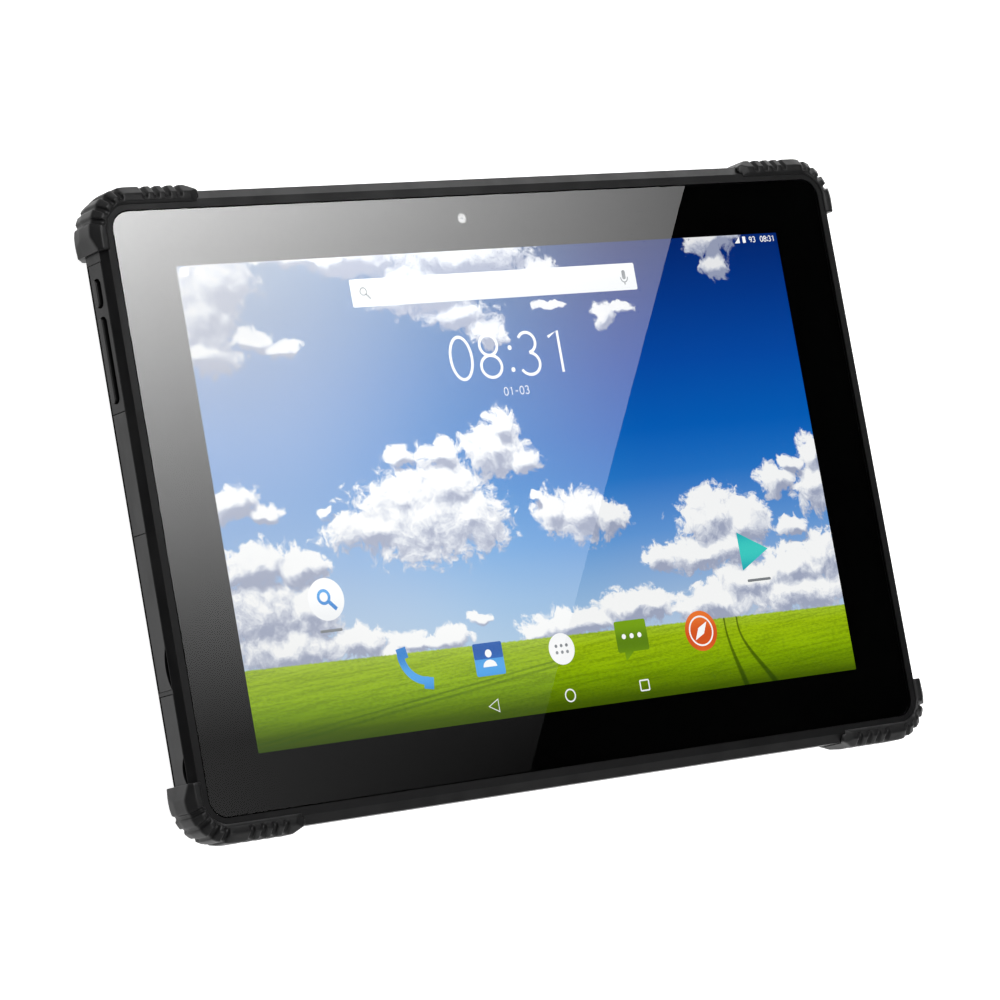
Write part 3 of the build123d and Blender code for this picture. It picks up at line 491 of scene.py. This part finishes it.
# Clouds as soft ellipses: middle x and y, half width and half height
CLOUDS = [
    (-40, -8, 24, 13), (-58, -10, 17, 5.5), (-24, -10, 13, 9.5), (-46, -2, 12, 8), (-30, 0, 12, 7),
    (-45, 10, 4.5, 3.5), (-32, 9, 7, 4.5), (-12, 9, 11, 7), (-8, 15, 6, 6), (-2, 5, 6, 4),
    (5, -10, 6, 6), (14, -12, 10, 7.5), (24, -14, 9, 5), (0, -6, 2, 1.5),
    (64, -17, 13, 8.5), (76, -19, 10, 7), (56, -27, 14, 5), (41, -28, 6, 4), (70, -26, 10, 6),
    (90, -8, 7, 4.5), (97, -3, 5, 2.5), (105, -10, 9, 8), (107, 0, 6, 6), (93, -22, 6, 3),
    (-104, 1, 9, 4.5), (-94, -3, 7, 2.5), (-74, -4, 3, 1),
    (-100, -17, 14, 6), (-84, -19, 9, 4.5), (-99, -30, 15, 11), (-84, -31, 10, 8), (-93, -41, 18, 7),
    (-70, -41, 10, 4.5), (-52, -43, 9, 3.5), (-60, -46, 9, 2.5), (-39, -43, 8, 3), (-27, -38, 3, 2),
    (6, -43, 18, 4.5), (28, -40, 14, 5), (36, -41, 8, 4.5), (-8, -45, 8, 3),
    (58, -42, 16, 5.5), (74, -37, 15, 6), (92, -34, 12, 7), (104, -31, 8, 8), (92, -42, 26, 6),
    (-103, 54, 12, 15), (-102, 42, 10, 5), (-97, 62, 12, 9), (-88, 46, 7, 3.5), (-80, 43, 6, 2.5),
    (-50, 67, 16, 5), (-28, 58, 18, 8), (-16, 49, 12, 5), (-7, 43, 7, 4.5), (-12, 65, 24, 7),
    (14, 60, 8, 4), (-70, 68, 12, 2.5), (82, 67, 10, 5), (82, 60, 6, 4),
    (37, 46, 3.5, 4), (43, 48, 5, 1.8), (17, 50, 5, 1.2),
]

# How the ellipses merge, the noises that bend them and bite their rims (scales per millimetre),
# where the light comes from, and how much each of them changes the clouds' tone
CLOUD_MERGE = 0.2
PUFF_STRETCH = (1, 1.2, 0)
PUFF_SCALE = 0.2
PUFF_DETAIL = 3.0
PUFF_ROUGH = 0.62
PUFF_LACUNARITY = 2.2
PUFF_SMOOTHNESS = 0.35
PUFF_BITE = -0.9
BEND_SCALE = 0.075
BEND_SPAN = (9, 7, 0)
WISP_SCALE = 0.3
WISP_DETAIL = 6.0
WISP_ROUGH = 0.62
WISP_BITE = 1.25
TOWARD_LIGHT = (-0.9, 2.6, 0)
CLOUD_TONE = 0.54
TONE_FROM_HEAP = 1.1
TONE_FROM_PUFF = 0.85
TONE_FROM_WISP = 0.4
THINNING_FROM_WISP = -40.0

# Field: streaks and tufts of grass
FIELD_SPAN = 25
FIELD_FOOT = 70
STREAK_ALONG = 0.05
STREAK_LEAN = -0.09
STREAK_ACROSS = 1.1
STREAK_SHARE = 0.5
TUFT_STRETCH = (0.7, 2.2, 0)
TUFT_SHARE = 0.6
NARROWEST_TRACK = 0.35

# Wheel tracks that run away from the viewer: x at the horizon, x at the foot, and how much
# their half width grows on the way
TRACKS = [(61.0, 66.5, 0.8), (65.8, 79.5, 1.0)]

# Faint tracks that cross the field: slope, y at the middle, and (shift down, half width) of each
CROSS_SLOPE = 0.13
CROSS_Y = -53.0
CROSS_TRACKS = [(0.0, 0.22), (-1.5, 0.3)]


def cloud_group():
    """Node group that gives how deep a place is in the clouds, 1 in a middle and 0 at a rim,
    and how far it is from the middle of a puff."""
    tree = bpy.data.node_groups.new("cloud_depth", "ShaderNodeTree")
    tree.interface.new_socket("Place", in_out="INPUT", socket_type="NodeSocketVector")
    tree.interface.new_socket("Depth", in_out="OUTPUT", socket_type="NodeSocketFloat")
    tree.interface.new_socket("Puff", in_out="OUTPUT", socket_type="NodeSocketFloat")
    graph = Graph(tree)
    place = tree.nodes.new("NodeGroupInput").outputs[0]
    nearest = None
    for x, y, wide, tall in CLOUDS:
        local = graph.vector("MULTIPLY_ADD", place, (1 / wide, 1 / tall, 0), (-x / wide, -y / tall, 0))
        away = graph.vector("LENGTH", local, out=1)
        nearest = away if nearest is None else graph.math("SMOOTH_MIN", nearest, away, CLOUD_MERGE)
    puff = graph.add("TexVoronoi", graph.vector("MULTIPLY", place, PUFF_STRETCH), None, PUFF_SCALE,
                     PUFF_DETAIL, PUFF_ROUGH, PUFF_LACUNARITY, PUFF_SMOOTHNESS,
                     feature="SMOOTH_F1", voronoi_dimensions="2D", normalize=True)
    ends = tree.nodes.new("NodeGroupOutput").inputs
    graph.put(ends[0], graph.math("SUBTRACT", 1.0, nearest))
    graph.put(ends[1], puff)
    return tree


def sky_colour(graph, x, y):
    """Deep blue above, pale at the horizon, and paler to the left."""
    up = graph.math("MULTIPLY_ADD", y, 1 / SKY_SPAN, 0.5)
    stops = [(0.14, tint(182, 204, 228)), (0.24, tint(140, 176, 218)), (0.36, tint(84, 144, 212)),
             (0.48, tint(30, 112, 196)), (0.58, tint(2, 92, 183)), (0.72, tint(2, 72, 164)),
             (0.86, tint(1, 54, 138)), (0.98, tint(1, 38, 112))]
    sky = graph.mix(graph.between(x, 50.0, -30.0, 0.0, 0.25), graph.ramp(up, stops), tint(60, 180, 235))
    sky = graph.mix(graph.between(x, -10.0, -90.0, 0.0, 0.32), sky, tint(190, 205, 228))
    low_left = graph.math("MULTIPLY", graph.between(y, 5.0, -45.0, 0.0, 0.34),
                          graph.between(x, 25.0, -60.0, 0.25, 1.0))
    return graph.mix(low_left, sky, tint(225, 230, 235))


def cloud_layer(graph, place, x, y, sky):
    """Cumulus over the sky: heaped puffs lit from the upper left and grey-blue underneath."""
    coarse = graph.noise(place, BEND_SCALE, colour=True, over="2D")
    bent = graph.vector("MULTIPLY_ADD", coarse, BEND_SPAN, place)
    bent = graph.vector("SUBTRACT", bent, tuple(span / 2 for span in BEND_SPAN))
    toward_light = graph.vector("ADD", bent, TOWARD_LIGHT)
    tree = cloud_group()
    depths, puffs = [], []
    for where in (bent, toward_light):
        group = graph.add("Group", node_tree=tree).node
        graph.put(group.inputs[0], where)
        depths.append(group.outputs[0])
        puffs.append(group.outputs[1])
    wisps = graph.noise(bent, WISP_SCALE, WISP_DETAIL, WISP_ROUGH, over="2D")
    wisps = graph.math("SUBTRACT", wisps, 0.5)
    edge = graph.math("MULTIPLY_ADD", puffs[0], PUFF_BITE, depths[0])
    edge = graph.math("MULTIPLY_ADD", wisps, WISP_BITE, edge)
    height = graph.math("MULTIPLY_ADD", wisps, THINNING_FROM_WISP, y)
    solid = graph.between(height, 56.0, 30.0, 0.86, 0.97)
    cover = graph.math("MULTIPLY", graph.between(edge, -0.5, -0.14), solid)
    broad = graph.math("SUBTRACT", depths[0], depths[1])
    local = graph.math("SUBTRACT", puffs[1], puffs[0])
    # Clouds darker to the far left, as painted dimming under the glare, and greyer near the top.
    painted_dim_left_grey_top = graph.math("MAXIMUM", graph.between(x, -62.0, -105.0, 0.0, 0.16),
                        graph.between(y, 34.0, 56.0, 0.0, 0.2))
    tone = graph.math("SUBTRACT", CLOUD_TONE, painted_dim_left_grey_top)
    tone = graph.math("MULTIPLY_ADD", broad, TONE_FROM_HEAP, tone)
    tone = graph.math("MULTIPLY_ADD", local, TONE_FROM_PUFF, tone)
    tone = graph.math("MULTIPLY_ADD", wisps, TONE_FROM_WISP, tone)
    shade = graph.ramp(tone, [(0.12, tint(160, 167, 190)), (0.34, tint(194, 199, 214)),
                              (0.52, tint(226, 229, 236)), (0.72, tint(252, 252, 251))])
    return graph.mix(cover, sky, shade)


def field_colour(graph, place, x, y):
    """Green field: leaning streaks and tufts, darker towards its foot, with wheel tracks."""
    up = graph.math("MULTIPLY_ADD", y, 1 / FIELD_SPAN, FIELD_FOOT / FIELD_SPAN)
    grass = graph.ramp(up, [(0.0, tint(52, 72, 2)), (0.16, tint(72, 96, 4)), (0.4, tint(124, 160, 5)),
                            (0.55, tint(148, 184, 8)), (0.8, tint(162, 194, 16)),
                            (0.92, tint(172, 202, 44))])
    across = graph.math("MULTIPLY", y, STREAK_ACROSS)
    leaning = graph.add("CombineXYZ", graph.math("MULTIPLY", x, STREAK_ALONG),
                        graph.math("MULTIPLY_ADD", x, STREAK_LEAN, across))
    streaks = graph.noise(leaning, 1.0, 4.0, 0.6, over="2D")
    tufts = graph.noise(graph.vector("MULTIPLY", place, TUFT_STRETCH), 1.0, 5.0, 0.7, over="2D")
    dim = graph.math("MULTIPLY_ADD", streaks, STREAK_SHARE, graph.math("MULTIPLY", tufts, TUFT_SHARE))
    grass = graph.mix(graph.between(dim, 0.38, 0.68, 0.42, 0.0), grass, tint(48, 76, 4))
    nearness = graph.between(y, -48.0, -68.0)
    for far, near, width in TRACKS:
        middle = graph.between(y, -48.5, -75.0, far, near)
        off = graph.math("ABSOLUTE", graph.math("SUBTRACT", x, middle))
        off = graph.math("DIVIDE", off, graph.math("MULTIPLY_ADD", nearness, width, NARROWEST_TRACK))
        grass = graph.mix(graph.between(off, 1.3, 0.4, 0.0, 0.7), grass, tint(30, 54, 4))
    crossing = graph.math("MULTIPLY_ADD", x, CROSS_SLOPE, CROSS_Y)
    for shift, reach in CROSS_TRACKS:
        off = graph.math("ABSOLUTE", graph.math("SUBTRACT", y, graph.math("ADD", crossing, shift)))
        line = graph.between(off, reach * 1.8, reach * 0.6, 0.0, 0.4)
        line = graph.math("MULTIPLY", line, graph.between(x, 12.0, -10.0))
        grass = graph.mix(line, grass, tint(52, 84, 10))
    return grass


def screen_material():
    """The lit screen: a sky with cumulus over a green field, with painted dimming at the upper left under
    the glare.
    """
    material, graph, shader = new_material("display_face")
    place, x, y, z = graph.places(1 / MM)
    sky = cloud_layer(graph, place, x, y, sky_colour(graph, x, y))
    ragged = graph.noise(graph.vector("MULTIPLY", place, (1.0, 0, 0)), HORIZON_RAGGED_SCALE)
    level = graph.math("MULTIPLY_ADD", x, HORIZON_SLOPE, y)
    skyline = graph.math("MULTIPLY_ADD", ragged, -HORIZON_RAGGED_HEIGHT, level)
    above = graph.between(skyline, HORIZON - HORIZON_BLUR_BELOW, HORIZON + HORIZON_BLUR_ABOVE)
    picture = graph.mix(above, field_colour(graph, place, x, level), sky)
    # Painted dimming: the picture darkens towards black at the upper left, where the glare lies on the
    # glass.
    painted_glare_dimming = graph.math("MULTIPLY", graph.between(x, -30.0, -110.0, 0.0, 0.4),
                       graph.between(y, 10.0, 60.0, 0.2, 1.0))
    picture = graph.mix(painted_glare_dimming, picture, (0.0, 0.0, 0.0, 1.0))
    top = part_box("display_cell")[1].z / MM
    face = graph.math("GREATER_THAN", z, top - FACE_DEPTH)
    set_inputs(graph, shader, Base_Color=UNLIT, Emission_Color=picture, Emission_Strength=face)
    shader.inputs["Specular IOR Level"].default_value = 0.0
    set_inputs(graph, shader, Roughness=graph.between(graph.noise(place, 0.4), 0.3, 0.7, 0.35, 0.45))
    return material


def mark_material(name, upper, lower, span):
    """A lit colour that swings gently between two shades, once in every span up the screen."""
    material, graph, shader = new_material(name)
    place, _, y, _ = graph.places(1 / MM)
    wave = graph.math("SINE", graph.math("MULTIPLY", y, 2 * math.pi / span))
    share = graph.math("MULTIPLY_ADD", graph.noise(place, 2.0), 0.2, graph.math("MULTIPLY", wave, 0.3))
    colour = graph.mix(graph.between(share, -0.3, 0.5), lower, upper)
    set_inputs(graph, shader, Base_Color=UNLIT, Emission_Color=colour, Emission_Strength=1.0,
               Roughness=0.5)
    shader.inputs["Specular IOR Level"].default_value = 0.0
    return material


def arc(x, y, wide, tall, start, end, steps=28):
    """Points on an ellipse between two angles in degrees."""
    turns = [math.radians(start + (end - start) * i / steps) for i in range(steps + 1)]
    return [(x + wide * math.cos(t), y + tall * math.sin(t)) for t in turns]


def disc(x, y, radius, steps=48):
    """Points round a circle."""
    return arc(x, y, radius, radius, 0, 360 - 360 / steps, steps - 1)


def rounded(x, y, wide, tall, corner):
    """Outline of a rounded rectangle about its middle."""
    points = []
    for sx, sy, start in ((1, 1, 0), (-1, 1, 90), (-1, -1, 180), (1, -1, 270)):
        points += arc(x + sx * (wide / 2 - corner), y + sy * (tall / 2 - corner),
                      corner, corner, start, start + 90, 6)
    return points


def stroke(points, width, closed=False):
    """Outlines of the quads of a line of that width along the points."""
    count = len(points)
    sides = []
    for i, (x, y) in enumerate(points):
        before = points[i - 1] if i or closed else (x, y)
        after = points[(i + 1) % count] if i < count - 1 or closed else (x, y)
        along = Vector((after[0] - before[0], after[1] - before[1])).normalized()
        across = Vector((-along.y, along.x)) * width / 2
        sides.append(((x + across.x, y + across.y), (x - across.x, y - across.y)))
    spans = range(count if closed else count - 1)
    return [[sides[i][0], sides[i][1], sides[(i + 1) % count][1], sides[(i + 1) % count][0]]
            for i in spans]


def digit(name, width):
    """Outlines of one thin digit in a box 0.62 wide and 1 tall, from its lower left."""
    shapes = {
        "0": [(arc(0.31, 0.5, 0.29, 0.48, 0, 352), True)],
        "1": [([(0.12, 0.84), (0.40, 0.97), (0.40, 0.02)], False)],
        "3": [(arc(0.29, 0.75, 0.24, 0.23, 150, -82), False),
              (arc(0.29, 0.27, 0.28, 0.25, 82, -150), False)],
        "8": [(arc(0.31, 0.75, 0.24, 0.23, 0, 352), True), (arc(0.31, 0.27, 0.28, 0.25, 0, 352), True)],
        "9": [(arc(0.31, 0.70, 0.26, 0.27, 0, 352), True), (arc(0.2, 0.62, 0.37, 0.6, 10, -70), False)],
        "-": [([(0.12, 0.45), (0.5, 0.45)], False)],
    }
    return [quad for line, closed in shapes[name] for quad in stroke(line, width, closed)]


def number(text, x, y, height, weight):
    """Outlines of digits set in a row whose middle is at x and whose foot is at y."""
    advance = DIGIT_ADVANCE * height
    colon = COLON_ADVANCE * height
    total = sum(colon if c == ":" else advance for c in text) - DIGIT_GAP * height
    at = x - total / 2
    outlines = []
    for character in text:
        if character == ":":
            for rise in COLON_RISES:
                outlines.append(disc(at + COLON_INSET * height, y + rise * height,
                                     weight * COLON_DOT, 16))
            at += colon
            continue
        for quad in digit(character, weight / height):
            outlines.append([(at + px * height, y + py * height) for px, py in quad])
        at += advance
    return outlines


def magnifier(x, y, size, width):
    """Ring with a handle at its lower right."""
    ring = disc(x - 0.12 * size, y + 0.12 * size, 0.3 * size, 32)
    handle = [(x + 0.1 * size, y - 0.1 * size), (x + 0.5 * size, y - 0.5 * size)]
    return stroke(ring, width, True) + stroke(handle, width * 1.3)


def microphone(x, y):
    """Rounded head in a cup on a short stem."""
    cup = stroke(arc(x, y, 1.3, 1.5, 180, 360, 14), 0.35)
    return [rounded(x, y + 0.7, 1.3, 2.8, 0.6)] + cup + stroke([(x, y - 1.5), (x, y - 2.3)], 0.4)


def handset(x, y):
    """Telephone receiver: a thick curved grip with a cup at each end."""
    offset, radius, grip_width, cup_width, half_cup, cup_shift = 4.4, 8.4, 2.3, 3.4, 1.6, 0.7
    quarter_turn = 1.5
    grip = arc(x + offset, y + offset, radius, radius, 181, 269, 20)
    cups = []
    for (px, py), lean in ((grip[0], 100), (grip[-1], 350)):
        turn = math.radians(lean)
        middle = (px + cup_shift * math.cos(turn - quarter_turn),
                  py + cup_shift * math.sin(turn - quarter_turn))
        tip = (middle[0] + half_cup * math.cos(turn), middle[1] + half_cup * math.sin(turn))
        tail = (middle[0] - half_cup * math.cos(turn), middle[1] - half_cup * math.sin(turn))
        cups += stroke([tail, tip], cup_width)
    return stroke(grip, grip_width) + cups


def screen_marks():
    """(colour, layer, outlines) of everything the screen shows over its picture."""
    white, grey = "mark_white", "mark_grey"
    return [
        # search bar, clock, date and the status row at the top
        (white, 1, [rounded(-0.5, 57.1, 103, 8.1, 0.5)]),
        (grey, 2, magnifier(-47.3, 57.1, 3.6, 0.42)),
        (grey, 2, microphone(46.6, 57.0)),
        (white, 1, number("08:31", -0.45, 29.8, CLOCK_HEIGHT, 0.9)),
        (white, 1, number("01-03", -0.1, 24.5, 2.4, 0.27)),
        (white, 1, [rounded(-106.0, 66.1, 2.4, 2.4, 0.4), disc(-101.0, 66.0, 1.0, 20)]),
        (white, 1, [[(91.6, 65.2), (93.6, 65.2), (93.6, 67.2)], rounded(95.4, 66.2, 1.2, 2.0, 0.25)]),
        (white, 1, number("93", 98.6, 65.3, 1.7, 0.26) + number("08:31", 104.6, 65.3, 1.7, 0.26)),
        # home row
        ("mark_blue", 1, handset(-52.6, -50.2)),
        ("mark_blue", 1, [rounded(-26.5, -50.4, 10.2, 9.4, 0.6)]),
        ("mark_navy", 2, [rounded(-26.5, -48.0, 10.2, 4.6, 0.5)]),
        (white, 3, [disc(-26.5, -48.8, 1.15, 32), arc(-26.5, -52.6, 2.4, 2.0, 0, 180, 24)]),
        (white, 1, [disc(-0.4, -50.2, 4.6)]),
        (grey, 2, [disc(-0.4 + dx, -50.2 + dy, 0.5, 16) for dx in (-1.9, 0, 1.9) for dy in (-0.95, 0.95)]),
        ("mark_green", 1, [rounded(25.6, -49.0, 11.6, 9.2, 0.7),
                           [(22.2, -53.2), (26.0, -53.2), (22.2, -56.2)]]),
        (white, 2, [disc(25.6 + dx, -49.0, 0.75, 20) for dx in (-2.9, 0, 2.9)]),
        ("mark_orange", 1, [disc(51.6, -50.2, 6.0)]),
        (white, 2, stroke(disc(51.6, -50.2, 4.3), 0.5, True)
            + [[(49.0, -52.8), (52.5, -51.1), (54.2, -47.6), (50.7, -49.3)]]),
        # the two programs above it, each with its label bar
        (white, 1, [disc(-78.0, -28.2, 6.0)]),
        ("mark_blue", 2, magnifier(-78.0, -28.2, 6.0, 0.9)),
        (grey, 1, [rounded(-78.0, -37.0, 7.4, 0.8, 0.35), rounded(77.2, -37.2, 9.0, 0.8, 0.35)]),
        ("mark_teal", 1, [[(71.6, -34.0), (82.6, -28.2), (71.6, -22.4)]]),
        # keys along the foot of the screen
        (white, 1, stroke([(-29.3, -63.8), (-25.9, -62.0), (-25.9, -65.6)], 0.42, True)),
        (white, 1, stroke(disc(-0.2, -63.8, 1.75, 32), 0.42, True)),
        (white, 1, stroke(rounded(27.2, -63.8, 3.2, 3.0, 0.3), 0.42, True)),
    ]


def marks_object(name, layers):
    """One piece of every mark of a colour: thin slabs, each layer a little above the last."""
    mesh = bpy.data.meshes.new(name)
    form = bmesh.new()
    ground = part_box("display_cell")[1].z
    for layer, outlines in layers:
        height = ground + layer * LAYER_RISE * MM
        for outline in outlines:
            form.faces.new([form.verts.new((x * MM, y * MM, height)) for x, y in outline])
    bmesh.ops.triangulate(form, faces=form.faces[:])
    form.normal_update()
    for face in form.faces:
        if face.normal.z < 0:
            face.normal_flip()
    form.to_mesh(mesh)
    form.free()
    obj = link(bpy.data.objects.new(name, mesh))
    slab = obj.modifiers.new("thickness", "SOLIDIFY")
    slab.thickness = MARK_THICKNESS * MM
    slab.offset = -1
    return obj


def add_screen_marks():
    """One lit piece for each colour of mark, from its two shades and their span in millimetres."""
    colours = {
        "mark_white": (tint(255, 255, 255), tint(238, 240, 242), 30.0),
        "mark_grey": (tint(150, 154, 158), tint(120, 124, 128), 9.0),
        "mark_blue": (tint(86, 170, 238), tint(44, 128, 206), 14.0),
        "mark_navy": (tint(40, 106, 190), tint(28, 90, 172), 9.0),
        "mark_green": (tint(122, 164, 24), tint(92, 130, 22), 12.0),
        "mark_orange": (tint(240, 122, 52), tint(214, 84, 34), 16.0),
        "mark_teal": (tint(64, 206, 196), tint(24, 160, 176), 16.0),
    }
    marks = screen_marks()
    for name, (upper, lower, span) in colours.items():
        layers = [(layer, outlines) for colour, layer, outlines in marks if colour == name]
        piece = marks_object("screen_" + name, layers)
        piece.data.materials.append(mark_material(name, upper, lower, span))
        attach(piece, "root")


# ---------------------------------------------------------------- glass and guards

def rounded_ring(half_x, half_y, corner, height):
    """Points round a rounded rectangle about the origin, in metres."""
    return [Vector((x, y, height)) for x, y in rounded(0, 0, 2 * half_x, 2 * half_y, corner)]


def add_cover_glass():
    """The glass is bonded to what lies under it, so it has a top and a rounded edge but no rear."""
    low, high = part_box("cover_glass")
    form = bmesh.new()
    rings = []
    turns = [math.radians(90 * step / EDGE_STEPS) for step in range(EDGE_STEPS + 1)]
    edge = GLASS_EDGE * MM
    levels = [(0.0, low.z)]
    levels += [(edge * (1 - math.cos(t)), high.z - edge * (1 - math.sin(t))) for t in turns]
    for inset, height in levels:
        ring = rounded_ring(high.x - inset, high.y - inset, GLASS_CORNER * MM - inset, height)
        rings.append([form.verts.new(point) for point in ring])
    for lower, upper in zip(rings, rings[1:]):
        for i in range(len(lower)):
            nearby = (i + 1) % len(lower)
            form.faces.new((lower[i], lower[nearby], upper[nearby], upper[i]))
    form.faces.new(rings[-1])
    mesh = bpy.data.meshes.new("bonded_glass")
    form.to_mesh(mesh)
    form.free()
    glass = link(bpy.data.objects.new("bonded_glass", mesh))
    glass.data.materials.append(NODES["cover_glass"].material_slots[0].material)
    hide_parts("cover_glass")
    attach(glass, "root")


def add_soft_guards():
    """The guards as moulded rubber: an even skin over each CAD solid, with all its edges rounded."""
    for name, solid in NODES.items():
        if not name.startswith("corner_guard"):
            continue
        piece_name = name.replace("corner_guard", "moulded_guard")
        guard = link(bpy.data.objects.new(piece_name, solid.data.copy()))
        skin = guard.modifiers.new("even_skin", "REMESH")
        skin.mode = "VOXEL"
        skin.voxel_size = GUARD_VOXEL * MM
        skin.use_smooth_shade = True
        rounding = guard.modifiers.new("rounded_edges", "SMOOTH")
        rounding.factor = SMOOTHING_FACTOR
        rounding.iterations = GUARD_SMOOTHING
        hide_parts(name)
        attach(guard, "root")


# ---------------------------------------------------------------- putting it together

def dress_cad_nodes():
    """Gives each CAD node the finish of its slot in the record."""
    materials = cad_materials()
    materials["display_face"] = screen_material()
    slots = {part["node"]: part["material_slot"] for part in frame["record"]["subparts"]}
    for name, obj in NODES.items():
        for place in obj.material_slots:
            place.material = materials[slots[name]]


add_camera()
add_studio()
dress_cad_nodes()
add_cover_glass()
add_soft_guards()
add_screen_marks()
